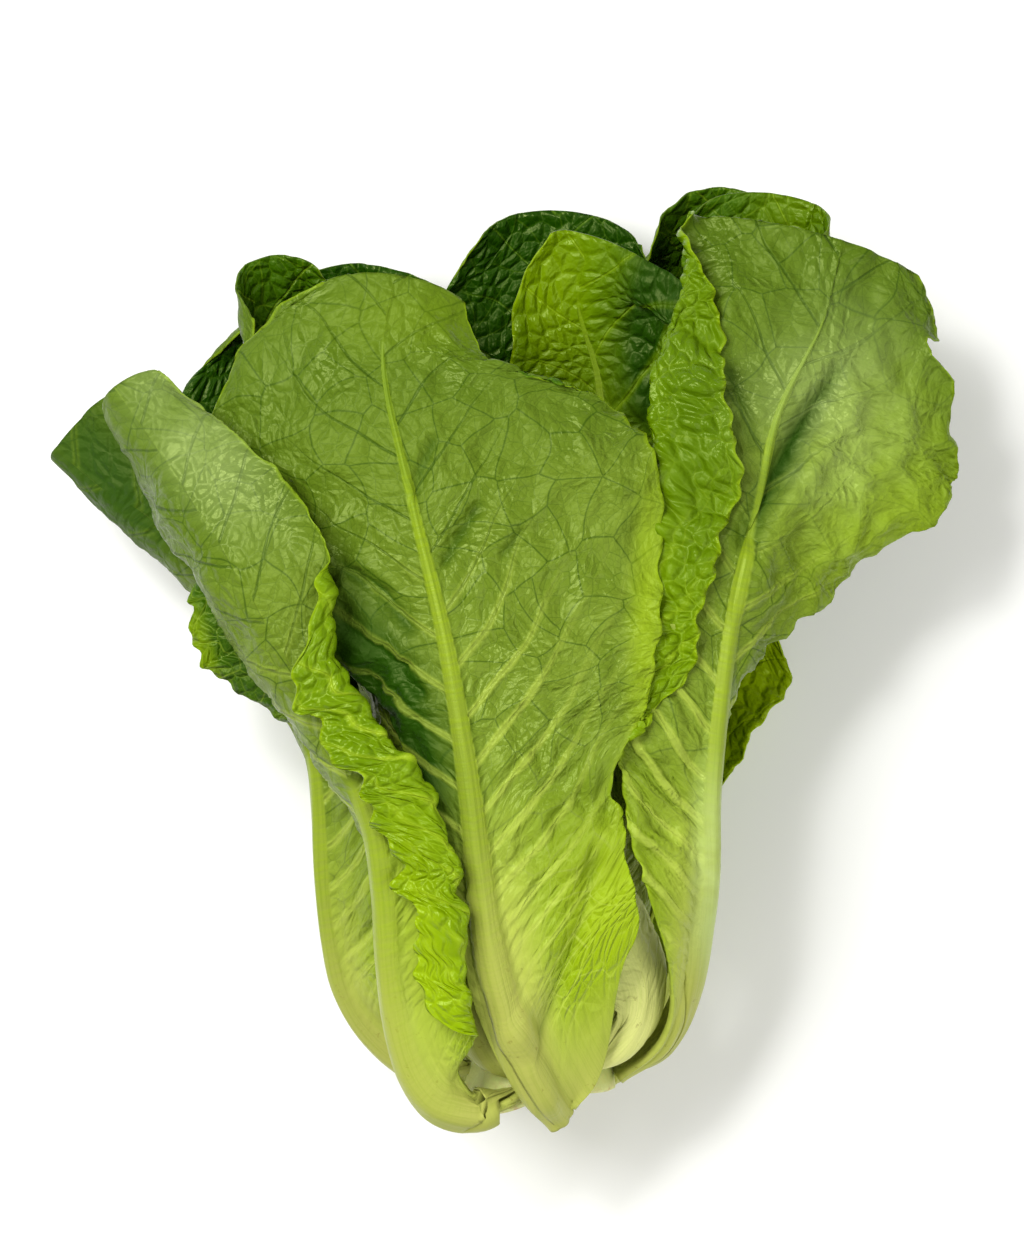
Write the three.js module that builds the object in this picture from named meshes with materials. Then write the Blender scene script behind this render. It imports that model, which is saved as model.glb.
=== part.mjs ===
// A head of romaine lettuce, cut from its root and laid on its back, in millimetres.
//
// +Y runs from the cut butt to the leaf tips, +Z is up and +X is to the right. The head rests on
// the ribs and blades of its back leaves at z = 0. Every leaf is a thin blade on a fleshy midrib:
// its back carries the rib, and its margins wave, cup inwards or roll back over the blade. The
// leaves are first laid out one by one, and then settled against each other, the stem and the
// surface that the head lies on, so that none of them crosses another.
import * as THREE from "three";

// ---- driving dimensions -------------------------------------------------------------------

const STEM = { x: 2, z: 50, butt: 10, top: 68, radius: 17.5, tipRadius: 4 };
const BLADE = 0.9; // thickness of a blade, away from its base
const BASE_EXTRA = 1.6; // what a blade is thicker by at its base
const BASE_SHARE = 0.28; // share of a leaf's length over which that fades
const CLEAR = 1.5; // room between the faces of two leaves
const PRESSED = 0.7; // how far the lowest ribs and blades are pressed flat by the surface
const BOW = 0.65; // how much of a blade's turn comes close to the midrib: 1 none, 0 all
const FOLD_ARC = 9.5; // length of blade in the turn of a rolled margin
const RIB_SPREAD = 1.15; // where the rib's columns end, in rib half-widths
const SHIFT = [-11.66, 139.66]; // from the layout's own origin to the middle of the head, x and y

const GREEN = {
  front: 0x8aa63c,
  side: 0x86a83a,
  back: 0x3f7a1c,
  heart: 0xb6c85a,
  stem: 0xd9dfa0,
};

// ---- curves -------------------------------------------------------------------------------

const clamp = (x, low, high) => Math.min(high, Math.max(low, x));
const mix = (a, b, t) => a + (b - a) * t;
const smooth = (a, b, x) => {
  const t = clamp((x - a) / (b - a), 0, 1);
  return t * t * (3 - 2 * t);
};
const radians = (degrees) => (degrees * Math.PI) / 180;

/** The value at t of a smooth curve through values at rising knots. */
function through(knots, values, t) {
  const last = knots.length - 1;
  let i = 0;
  while (i < last - 1 && t > knots[i + 1]) i += 1;
  const slope = (k) => {
    const a = Math.max(0, k - 1);
    const b = Math.min(last, k + 1);
    return (values[b] - values[a]) / (knots[b] - knots[a]);
  };
  const h = knots[i + 1] - knots[i];
  const s = clamp((t - knots[i]) / h, 0, 1);
  const s2 = s * s;
  const s3 = s2 * s;
  return (
    (2 * s3 - 3 * s2 + 1) * values[i] +
    (s3 - 2 * s2 + s) * h * slope(i) +
    (3 * s2 - 2 * s3) * values[i + 1] +
    (s3 - s2) * h * slope(i + 1)
  );
}

/** The value at t from 0 to 1 of a curve through evenly spaced values. */
const along = (values, t) =>
  values.length === 1
    ? values[0]
    : through(values.map((_, i) => i / (values.length - 1)), values, t);

// ---- vectors ------------------------------------------------------------------------------

const add = (a, b, k = 1) => [a[0] + b[0] * k, a[1] + b[1] * k, a[2] + b[2] * k];
const dot = (a, b) => a[0] * b[0] + a[1] * b[1] + a[2] * b[2];
const cross = (a, b) => [
  a[1] * b[2] - a[2] * b[1],
  a[2] * b[0] - a[0] * b[2],
  a[0] * b[1] - a[1] * b[0],
];
const unit = (a) => {
  const size = Math.hypot(...a) || 1;
  return [a[0] / size, a[1] / size, a[2] / size];
};

// ---- the leaves ---------------------------------------------------------------------------
//
// rank      a leaf lies outside every leaf of lower rank that it meets
// root      where the leaf leaves the stem: the angle round it, and the height above the cut
// midrib    points from just past the root to the tip
// facing    which way the leaf's back looks at its base, middle and tip: 0 up, 90 right, 180 down
// left      half-widths at equal steps along the midrib, seen from the leaf's back, tip up
// right     the same, for the right side
// cup       how far each side has turned inwards by its margin, in degrees, base to tip
// fold      a margin rolled over the back: its side, how far from the midrib it creases at equal
//           steps, and how far it turns
// wave      height of the margin's waves, and how many there are
// rib       half-width and height of the rib at its base
// blunt     how far a margin falls behind the midrib at the tip, as a share of the half-width
// hold      how little the leaf gives way when leaves are settled, 0 to 1

const LEAVES = [
  {
    name: "leaf_front",
    rank: 30,
    group: "front",
    root: [6, 5],
    midrib: [
      [-6.5, 24, 84], [-13.5, 46, 95], [-17.5, 73, 100], [-21, 103, 102], [-28, 145, 101],
      [-39.5, 193, 98], [-46.5, 228, 94], [-43, 253, 89],
    ],
    facing: [4, 0, 0],
    left: [5, 8, 9, 9, 14, 26, 38, 50, 61, 54, 20],
    right: [5, 42, 45, 42, 46, 60, 70, 74, 66, 43, 24],
    cup: { left: [20, 30, 35, 25], right: [6, 15, 14, 12] },
    wave: [2.2, 4.5],
    rib: [8, 5.5],
    blunt: 0.3,
    columns: [7, 7],
    rows: 20,
    hold: 0.8,
  },
  {
    name: "leaf_left_upper",
    rank: 33,
    group: "front",
    root: [-27, 8],
    midrib: [
      [-13, 4.5, 71], [-22, 3.5, 75], [-31, 7.5, 79], [-37.5, 17, 83], [-42, 32, 88], [-44.6, 50, 93],
      [-46, 70, 98], [-49, 88, 101], [-57, 108, 103], [-69, 131, 104], [-83, 155, 103],
      [-97, 178, 99], [-111, 199, 93], [-126, 220, 86],
    ],
    facing: [-38, -18, -8],
    left: [5, 8, 10, 12, 16, 24, 30, 34, 33, 27, 12],
    right: [6, 18, 41, 43, 47, 37, 32, 27, 26, 21, 13],
    cup: { left: [40, 120, 135, 120], right: [15, 10, 15, 20] },
    fold: { side: "right", line: [30, 23, 22, 23, 20, 13, 10, 22, 36, 40, 40], turn: 176 },
    wave: [1.6, 6],
    rib: [8.5, 5.5],
    blunt: 0.35,
    columns: [6, 9],
    rows: 24,
    hold: 0.75,
  },
  {
    name: "leaf_left_lower",
    rank: 31,
    group: "front",
    root: [-76, 14],
    midrib: [
      [-26, 14, 46], [-39, 17, 44], [-51, 27, 45], [-59, 40, 48], [-62.5, 54, 52],
      [-65, 72, 57], [-67, 92, 61], [-70, 108, 64], [-77, 123, 66], [-87, 140, 66],
      [-101, 158, 64], [-123, 181, 56], [-147, 202, 48],
    ],
    facing: [-78, -52, -46, -38, -35],
    left: [5, 8, 9, 10, 12, 16, 22, 26, 26, 24, 12],
    right: [5, 14, 18, 20, 22, 36, 52, 50, 29, 33, 36],
    cup: { left: [40, 110, 120, 110], right: [15, 10, 10, 20] },
    fold: { side: "right", line: [30, 30, 30, 28, 26, 16, 12, 12, 13, 20, 31], turn: 172 },
    wave: [1.6, 5],
    rib: [7.5, 5],
    blunt: 0.3,
    columns: [6, 9],
    rows: 22,
    hold: 0.75,
  },
  {
    name: "leaf_right",
    rank: 28,
    group: "front",
    root: [84, 15],
    midrib: [
      [34, 25, 53], [43, 42, 62], [47.5, 60, 74], [49.8, 76, 83], [50.5, 99, 88], [53.4, 127, 90],
      [57.6, 155, 90], [64, 183, 88], [69.6, 211, 85], [81, 238, 81], [88.5, 264, 77],
    ],
    facing: [82, 48, 22, 12, 6],
    left: [5, 10, 17, 26, 29, 41, 48, 62, 64, 53, 45],
    right: [5, 8, 9, 9, 9, 12, 33, 55, 60, 50, 28],
    cup: { left: [20, 20, 15, 15], right: [30, 90, 20, 20] },
    fold: { side: "left", line: [36, 36, 36, 32, 25, 21, 24, 30, 35, 38, 39], turn: 176 },
    wave: [2.2, 5],
    rib: [7.5, 5],
    blunt: 0.12,
    columns: [9, 8],
    rows: 22,
    hold: 0.85,
  },
  {
    name: "leaf_front_right",
    rank: 27.5,
    group: "front",
    root: [36, 12],
    midrib: [
      [25, 15, 69], [34, 25, 70], [34, 38, 70], [25, 56, 72], [15, 78, 77], [8, 110, 80],
      [2, 150, 79], [-4, 190, 75],
    ],
    facing: [30, 12, 0],
    left: [5, 11, 13, 15, 18, 22, 26, 30, 30, 18],
    right: [5, 10, 12, 9, 7, 8, 10, 14, 16, 11],
    cup: { left: [30, 40, 40, 30], right: [40, 60, 50, 40] },
    wave: [2, 4],
    rib: [9.5, 5],
    columns: [5, 5],
    rows: 14,
    hold: 0.5,
  },
  {
    name: "leaf_front_inner",
    rank: 27,
    group: "front",
    root: [52, 22],
    midrib: [
      [22, 33, 70], [28, 52, 76], [31, 85, 79], [31, 125, 80], [27, 170, 75], [24, 205, 68],
    ],
    facing: [34, 15, 5],
    left: [5, 11, 17, 24, 30, 34, 34, 20],
    right: [5, 12, 18, 22, 25, 30, 30, 18],
    cup: { left: [30, 40, 45, 40], right: [30, 50, 60, 50] },
    wave: [2.2, 4],
    rib: [7, 4],
    columns: [5, 5],
    rows: 13,
    hold: 0.35,
  },
  {
    name: "leaf_left_inner",
    rank: 26,
    group: "front",
    root: [-18, 17],
    midrib: [
      [-15, 27, 74], [-25, 51, 81], [-31, 90, 84], [-37, 135, 82], [-43, 180, 76], [-46, 208, 68],
    ],
    facing: [-22, -20, -15],
    left: [6, 13, 18, 26, 31, 32, 26, 14],
    right: [6, 13, 20, 28, 34, 38, 36, 22],
    cup: { left: [30, 70, 70, 50], right: [30, 40, 40, 40] },
    wave: [2.2, 4],
    rib: [7.5, 4.5],
    columns: [5, 5],
    rows: 13,
    hold: 0.35,
  },
  {
    name: "leaf_back_inner",
    rank: 22,
    group: "back",
    root: [170, 22],
    midrib: [
      [4, 30, 27], [6, 55, 21], [10, 100, 22], [16, 150, 26], [19, 195, 31], [17, 225, 37],
      [11, 248, 44], [15, 267, 52],
    ],
    facing: [176, 172, 170],
    left: [5, 12, 18, 26, 34, 40, 47, 43],
    right: [5, 12, 18, 26, 30, 30, 25, 12],
    cup: { left: [30, 60, 48, 36], right: [30, 50, 40, 30] },
    wave: [1.5, 4],
    rib: [7, 4.5],
    blunt: 0.2,
    columns: [7, 6],
    rows: 18,
    hold: 0.4,
  },
  {
    name: "leaf_back_right_upper",
    rank: 23,
    group: "back",
    root: [122, 20],
    midrib: [
      [20, 30, 33], [28, 60, 27], [40, 115, 27], [54, 175, 33], [69, 225, 43], [83, 276, 58],
    ],
    facing: [135, 145, 150],
    left: [5, 11, 16, 24, 32, 34, 34, 22],
    right: [5, 11, 16, 24, 30, 34, 38, 34],
    cup: { left: [30, 60, 50, 60], right: [30, 50, 50, 60] },
    wave: [3.5, 6],
    rib: [6.5, 4],
    columns: [6, 5],
    rows: 17,
    hold: 0.4,
  },
  {
    name: "leaf_back_right",
    rank: 25,
    group: "back",
    root: [146, 15],
    midrib: [
      [18, 26, 24], [26, 57, 14], [34, 110, 11], [42, 170, 13], [50, 225, 19], [57, 260, 30],
      [58, 282, 42],
    ],
    facing: [150, 160, 170],
    left: [5, 12, 18, 28, 38, 42, 40, 22],
    right: [5, 12, 18, 28, 38, 42, 42, 28],
    cup: { left: [30, 60, 50, 50], right: [30, 45, 50, 70] },
    wave: [2, 4],
    rib: [7.5, 5],
    columns: [5, 6],
    rows: 16,
    hold: 0.4,
  },
  {
    name: "leaf_back_middle",
    rank: 32,
    group: "back",
    root: [182, 11],
    midrib: [
      [0, 22, 15], [-1, 48, 5.5], [0, 95, 2.5], [2, 155, 1.5], [4, 215, 6], [5, 276, 18],
    ],
    facing: [182, 180, 180],
    left: [5, 12, 18, 28, 40, 48, 48, 26],
    right: [5, 12, 18, 28, 40, 48, 48, 26],
    cup: { left: [30, 50, 30, 25], right: [30, 50, 30, 25] },
    wave: [2, 4],
    rib: [8.5, 6],
    columns: [6, 6],
    rows: 17,
    hold: 0.6,
  },
  {
    name: "leaf_back_left",
    rank: 28,
    group: "back",
    root: [-148, 13],
    midrib: [
      [-18, 25, 23], [-30, 57, 8.5], [-41, 110, 1], [-51, 170, -0.5], [-56, 220, 5], [-54, 260, 19],
    ],
    facing: [-150, -162, -170],
    left: [5, 12, 18, 28, 38, 46, 48, 30],
    right: [5, 12, 18, 28, 40, 56, 68, 38],
    cup: { left: [30, 60, 50, 35], right: [30, 50, 35, 25] },
    wave: [2.5, 4],
    rib: [7.5, 5],
    columns: [6, 6],
    rows: 16,
    hold: 0.4,
  },
  {
    name: "leaf_back_left_upper",
    rank: 24,
    group: "back",
    root: [-130, 21],
    midrib: [
      [-15, 33, 34], [-27, 62, 29], [-42, 115, 29], [-59, 170, 35], [-73, 212, 46], [-84, 240, 58],
      [-88, 257, 68],
    ],
    facing: [-132, -145, -145],
    left: [5, 11, 16, 24, 32, 36, 34, 22],
    right: [5, 11, 16, 24, 32, 36, 32, 20],
    cup: { left: [30, 50, 50, 50], right: [30, 60, 70, 70] },
    wave: [2, 4],
    rib: [6.5, 4],
    columns: [6, 6],
    rows: 16,
    hold: 0.4,
  },
  {
    name: "leaf_left_under",
    rank: 26.5,
    group: "back",
    root: [-111, 15],
    midrib: [
      [-26, 26, 35], [-41, 44, 26], [-51, 75, 21], [-58, 115, 21], [-68, 155, 22], [-78, 190, 25],
    ],
    facing: [-112, -135, -150],
    left: [5, 11, 16, 24, 32, 38, 36, 22],
    right: [5, 9, 10, 10, 14, 20, 24, 18],
    cup: { left: [30, 50, 40, 30], right: [30, 70, 60, 50] },
    wave: [2.2, 4],
    rib: [7, 4.5],
    columns: [5, 5],
    rows: 14,
    hold: 0.4,
  },
  {
    name: "leaf_right_under",
    rank: 35,
    group: "back",
    root: [111, 12],
    midrib: [
      [26, 20, 34], [38, 39, 19], [45, 72, 9], [49, 105, 4], [54, 135, 2.5], [59, 164, 5],
    ],
    facing: [108, 145, 165],
    left: [5, 7, 6, 6, 8, 20, 25, 15],
    right: [5, 11, 16, 24, 34, 38, 34, 20],
    cup: { left: [30, 60, 30, 10], right: [30, 50, 40, 30] },
    wave: [2.5, 4],
    rib: [7.5, 5],
    columns: [5, 5],
    rows: 15,
    hold: 0.5,
  },
  ...heartLeaves(),
];

/** The small leaves round the growing tip, each a golden angle on from the last. */
function heartLeaves() {
  const count = 5;
  const goldenAngle = 137.5;
  const leaves = [];
  for (let i = 0; i < count; i += 1) {
    const inner = i / (count - 1);
    const facing = ((70 + i * goldenAngle + 180) % 360) - 180;
    const out = [Math.sin(radians(facing)), Math.cos(radians(facing))];
    const length = mix(205, 110, inner);
    const reach = mix(23, 8, inner);
    const base = mix(28, 60, inner);
    const lean = mix(-30, -16, inner);
    const curl = [35, 80, 85, 75].map((angle) => angle * mix(1, 0.55, inner));
    const midrib = [0.07, 0.22, 0.5, 0.78, 1].map((t) => {
      const start = stemRadius(base) + 1.5;
      const r = mix(start, reach, smooth(0, 0.3, t)) * (t > 0.7 ? 1 - 0.5 * (t - 0.7) : 1);
      return [STEM.x + lean * t * t + r * out[0], base + (length - base) * t, STEM.z + r * out[1]];
    });
    leaves.push({
      name: `leaf_heart_${i + 1}`,
      rank: 16 - i,
      group: "heart",
      root: [facing, base],
      midrib,
      facing: [facing, facing, facing],
      left: [6, 11, 16, 21, 24, 20, 10].map((w) => w * mix(1, 0.5, inner)),
      right: [6, 11, 16, 21, 24, 20, 10].map((w) => w * mix(1, 0.5, inner)),
      cup: { left: curl, right: curl },
      wave: [1.2, 3],
      rib: [mix(6, 3, inner), mix(3.5, 2, inner)],
      columns: [4, 4],
      rows: 10,
      hold: 0.15,
    });
  }
  return leaves;
}

// ---- the stem -----------------------------------------------------------------------------

/** How thick the stem is at height y above the cut. */
function stemRadius(y) {
  const t = clamp((y - STEM.butt) / (STEM.top - STEM.butt), 0, 1);
  return mix(STEM.radius, STEM.tipRadius, t * t);
}

/** The stem, a stub that narrows to the growing tip, with its rim rounded at the cut. */
function stemMesh() {
  const sides = 20;
  const rings = 6;
  const profile = [
    new THREE.Vector2(0, STEM.butt - 1),
    new THREE.Vector2(stemRadius(0) - 1.5, STEM.butt - 1),
  ];
  for (let i = 0; i <= rings; i += 1) {
    const y = mix(STEM.butt, STEM.top, i / rings);
    profile.push(new THREE.Vector2(stemRadius(y), y));
  }
  profile.push(new THREE.Vector2(0, STEM.top + STEM.tipRadius));
  const geometry = new THREE.LatheGeometry(profile, sides);
  geometry.translate(STEM.x, 0, STEM.z);
  return geometry;
}

// ---- the shape of one leaf ----------------------------------------------------------------

/** Where a leaf's midrib is at each share t of its length, with its direction. */
function midribOf(leaf) {
  const [angle, height] = leaf.root;
  const radius = stemRadius(height) + 0.4 + (BLADE + BASE_EXTRA) / 2;
  const root = [
    STEM.x + radius * Math.sin(radians(angle)),
    height,
    STEM.z + radius * Math.cos(radians(angle)),
  ];
  const points = [root, ...leaf.midrib];
  const knots = [0];
  for (let i = 1; i < points.length; i += 1) {
    knots.push(knots[i - 1] + Math.hypot(...add(points[i], points[i - 1], -1)));
  }
  const length = knots[knots.length - 1];
  const shares = knots.map((x) => x / length);
  const axes = [0, 1, 2].map((k) => points.map((p) => p[k]));
  const at = (t) => axes.map((values) => through(shares, values, t));
  const step = 0.004;
  const direction = (t) => unit(add(at(Math.min(1, t + step)), at(Math.max(0, t - step)), -1));
  return { at, direction, length };
}

/** Half-width and height of the rib at share t of the leaf. */
const ribWidth = (leaf, t) =>
  leaf.rib[0] * (0.14 + 0.86 * (1 - t) ** 1.3) * mix(0.6, 1, smooth(0, 0.12, t));
const ribHeight = (leaf, t) =>
  leaf.rib[1] * (0.1 + 0.9 * (1 - t) ** 1.5) * mix(0.3, 1, smooth(0, 0.06, t));

/** One side of a leaf at share t: its half-width, where it creases, its cup and its roll. */
function sideAt(leaf, side, t) {
  const name = side < 0 ? "left" : "right";
  const width = along(leaf[name], t);
  const rolls = leaf.fold && leaf.fold.side === name;
  const line = rolls ? Math.min(along(leaf.fold.line, t), width) : width;
  return {
    width,
    line,
    over: width - line,
    rolls,
    cup: radians(along(leaf.cup[name], t)),
    turn: rolls ? radians(leaf.fold.turn) : 0,
    rib: Math.min(ribWidth(leaf, t) * RIB_SPREAD, width * 0.5),
  };
}

/** Distance from the midrib, along the blade, of the column at share u from 0 to 1. */
function reach(leaf, side, u, s) {
  const columns = leaf.columns[side > 0 ? 1 : 0];
  const ribShare = 2 / columns;
  if (u <= ribShare) return (s.rib * u) / ribShare;
  const flat = mix(s.rib, s.width, (u - ribShare) / (1 - ribShare));
  if (!s.rolls) return flat;
  const marks = [2 / 9, 4 / 9, 7 / 9, 1];
  const reaches = [s.rib, s.line, s.line + Math.min(FOLD_ARC, s.over * 0.9), s.width];
  let i = 0;
  while (i < 2 && u > marks[i + 1]) i += 1;
  const folded = mix(reaches[i], reaches[i + 1], (u - marks[i]) / (marks[i + 1] - marks[i]));
  return mix(flat, folded, smooth(1, FOLD_ARC, s.over));
}

/** How far the blade has turned inwards at distance x from the midrib. */
const turnAt = (s, x) =>
  s.cup * (Math.min(x, s.line) / s.line) ** BOW - s.turn * clamp((x - s.line) / FOLD_ARC, 0, 1);

/** The middle surface of a leaf as a grid of points, rows from base to tip, columns left to right. */
function layOut(leaf) {
  const midrib = midribOf(leaf);
  const [leftColumns, rightColumns] = leaf.columns;
  const rows = [];
  for (let r = 0; r <= leaf.rows; r += 1) {
    const t = r / leaf.rows;
    const row = [];
    for (let c = -leftColumns; c <= rightColumns; c += 1) {
      const side = c < 0 ? -1 : 1;
      const u = Math.abs(c) / (c < 0 ? leftColumns : rightColumns);
      row.push(pointOf(leaf, midrib, t, side, u));
    }
    rows.push(row);
  }
  return rows;
}

/** One point of a leaf's middle surface, and whether it is on the rolled part of a margin. */
function pointOf(leaf, midrib, t, side, u) {
  const place = midrib.at(t);
  const forward = midrib.direction(t);
  const look = radians(along(leaf.facing, t));
  const towards = [Math.sin(look), 0, Math.cos(look)];
  const out = unit(add(towards, forward, -dot(towards, forward)));
  const right = cross(forward, out);
  const s = sideAt(leaf, side, t);
  const a = reach(leaf, side, u, s);
  const steps = 32;
  let across = 0;
  let depth = 0;
  for (let i = 0; i < steps; i += 1) {
    const angle = turnAt(s, (a * (i + 0.5)) / steps);
    across += (Math.cos(angle) * a) / steps;
    depth -= (Math.sin(angle) * a) / steps;
  }
  const share = a / s.width;
  const sweep = a * mix(0.4, 0.1, smooth(0, 0.5, t)) * (1 - smooth(0.7, 1, t));
  const blunt = leaf.blunt ?? 0.45;
  const round = 1 - Math.sqrt(Math.max(0, 1 - (0.98 * Math.min(1, a / s.line)) ** 2));
  const drop = s.line * blunt * smooth(0.62, 1, t) * round;
  const [waveHeight, waves] = leaf.wave;
  const phase = leaf.rank * 1.7 + (side < 0 ? 2.1 : 0);
  const swell = share ** 2 * smooth(0.15, 0.4, t) * Math.min(1, s.width / 30);
  const wave = waveHeight * swell * Math.sin(2 * Math.PI * waves * t + phase);
  const angle = turnAt(s, a);
  let point = add(place, right, side * (across + Math.sin(angle) * wave));
  point = add(point, out, depth + Math.cos(angle) * wave);
  point = add(point, forward, sweep - drop);
  // Near its base the leaf wraps round the stem.
  const dx = place[0] - STEM.x;
  const dz = place[2] - STEM.z;
  const radius = Math.hypot(dx, dz);
  const sense = right[0] * dz - right[2] * dx >= 0 ? 1 : -1;
  const swing = Math.atan2(dx, dz) + (sense * side * a) / radius;
  const wrapped = [
    STEM.x + radius * Math.sin(swing),
    place[1] + sweep * 0.5,
    STEM.z + radius * Math.cos(swing),
  ];
  const around = 1 - smooth(0, 0.1, t);
  return {
    point: point.map((x, k) => mix(x, wrapped[k], around)),
    rolled: s.over > FOLD_ARC / 2 && a > s.line + FOLD_ARC / 2,
    arc: s.over > 2 && a > s.line + 0.1 && a < s.line + FOLD_ARC - 0.1,
  };
}

// ---- settling the leaves ------------------------------------------------------------------

/** Outward normals at every point of a grid. */
function normalsOf(grid) {
  const rows = grid.length;
  const columns = grid[0].length;
  return grid.map((row, r) =>
    row.map((_, c) => {
      const alongLeaf = add(grid[Math.min(rows - 1, r + 1)][c], grid[Math.max(0, r - 1)][c], -1);
      const acrossLeaf = add(grid[r][Math.min(columns - 1, c + 1)], grid[r][Math.max(0, c - 1)], -1);
      return unit(cross(acrossLeaf, alongLeaf));
    }),
  );
}

/** Thickness of the blade, and height of the rib on its back, at each point of a leaf. */
function thicknessOf(leaf) {
  const rows = [];
  for (let r = 0; r <= leaf.rows; r += 1) {
    const t = r / leaf.rows;
    const blade = BLADE + (1 - smooth(0, BASE_SHARE, t)) * BASE_EXTRA;
    const row = [];
    for (let c = -leaf.columns[0]; c <= leaf.columns[1]; c += 1) {
      const side = c < 0 ? -1 : 1;
      const a = reach(leaf, side, Math.abs(c) / leaf.columns[c < 0 ? 0 : 1], sideAt(leaf, side, t));
      const inRib = Math.max(0, 1 - (a / (ribWidth(leaf, t) * RIB_SPREAD)) ** 2);
      row.push({ blade, rib: ribHeight(leaf, t) * Math.sqrt(inRib) });
    }
    rows.push(row);
  }
  return rows;
}

/** Moves the leaves apart until each lies outside those it should, and above the surface. */
function settle(leaves) {
  const rounds = 60;
  const sheets = leaves.map((leaf) => {
    const points = layOut(leaf);
    return {
      leaf,
      rows: points.length,
      columns: points[0].length,
      start: points.map((row) => row.map((p) => p.point)),
      now: points.map((row) => row.map((p) => [...p.point])),
      rolled: points.map((row) => row.map((p) => p.rolled)),
      arc: points.map((row) => row.map((p) => p.arc)),
      thick: thicknessOf(leaf),
    };
  });
  for (let round = 0; round < rounds; round += 1) {
    for (const s of sheets) {
      s.normals = normalsOf(s.now);
      s.push = s.now.map((row) => row.map(() => [0, 0, 0]));
      s.count = s.now.map((row) => row.map(() => 0));
      s.box = boxOf(s.now);
    }
    for (const p of sheets) {
      for (const q of sheets) {
        if ((p !== q || p.leaf.fold) && boxesMeet(p.box, q.box, 12)) separate(p, q);
      }
    }
    for (const s of sheets) {
      applyPushes(s);
      clearStem(s);
      clearFloor(s);
    }
  }
  return sheets;
}

function boxOf(grid) {
  const low = [Infinity, Infinity, Infinity];
  const high = [-Infinity, -Infinity, -Infinity];
  for (const row of grid) {
    for (const p of row) {
      for (let k = 0; k < 3; k += 1) {
        low[k] = Math.min(low[k], p[k]);
        high[k] = Math.max(high[k], p[k]);
      }
    }
  }
  return { low, high };
}

const boxesMeet = (a, b, room) =>
  [0, 1, 2].every((k) => a.low[k] - room < b.high[k] && b.low[k] - room < a.high[k]);

/** Pushes p's points, and the points of q nearest to them, apart where they are too close. */
function separate(p, q) {
  const self = p === q;
  const deepest = p.leaf.group === "heart" && q.leaf.group === "heart" ? 6 : 9;
  const share = self ? 0.8 : (1 - p.leaf.hold) / (2 - p.leaf.hold - q.leaf.hold);
  for (let r = 0; r < p.rows; r += 1) {
    for (let c = 0; c < p.columns; c += 1) {
      if (self && (!p.rolled[r][c] || p.arc[r][c])) continue;
      const [qr, qc, gap] = nearest(p.now[r][c], q, self);
      if (qr < 0) continue;
      // A rolled margin has its face outwards, so it is read the other way round.
      const flip = p.rolled[r][c] !== q.rolled[qr][qc] ? -1 : 1;
      const normal = q.normals[qr][qc];
      const alike = dot(p.normals[r][c], normal) * flip > -0.3;
      const outside = self || (alike && p.leaf.rank > q.leaf.rank) ? 1 : -1;
      const side = q.rolled[qr][qc] ? -outside : outside;
      const height = dot(add(p.now[r][c], q.now[qr][qc], -1), normal);
      const own = p.thick[r][c];
      const other = q.thick[qr][qc];
      const ribbed = alike && outside < 0 && !p.rolled[r][c];
      const ownSide = own.blade / 2 + (ribbed ? own.rib : 0);
      const otherSide = other.blade / 2 + (outside > 0 ? other.rib : 0);
      const lack = CLEAR + ownSide + otherSide - side * height;
      const aside = Math.sqrt(Math.max(0, gap - height * height));
      if (lack <= 0 || lack > deepest + ownSide + otherSide || aside > 8.5) continue;
      const move = lack * (1 - 0.5 * smooth(4, 8.5, aside)) * side;
      p.push[r][c] = add(p.push[r][c], normal, move * share);
      p.count[r][c] += 1;
      q.push[qr][qc] = add(q.push[qr][qc], normal, -move * (1 - share));
      q.count[qr][qc] += 1;
    }
  }
}

/** The row and column of q's point nearest to a point, and the square of its distance. */
function nearest(point, q, flatOnly) {
  let best = 196;
  let row = -1;
  let column = -1;
  for (let i = 0; i < q.rows; i += 1) {
    for (let j = 0; j < q.columns; j += 1) {
      const other = q.now[i][j];
      const dx = point[0] - other[0];
      const dy = point[1] - other[1];
      const dz = point[2] - other[2];
      const d = dx * dx + dy * dy + dz * dz;
      if (d < best && !q.arc[i][j] && !(flatOnly && q.rolled[i][j])) {
        best = d;
        row = i;
        column = j;
      }
    }
  }
  return [row, column, best];
}

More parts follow.
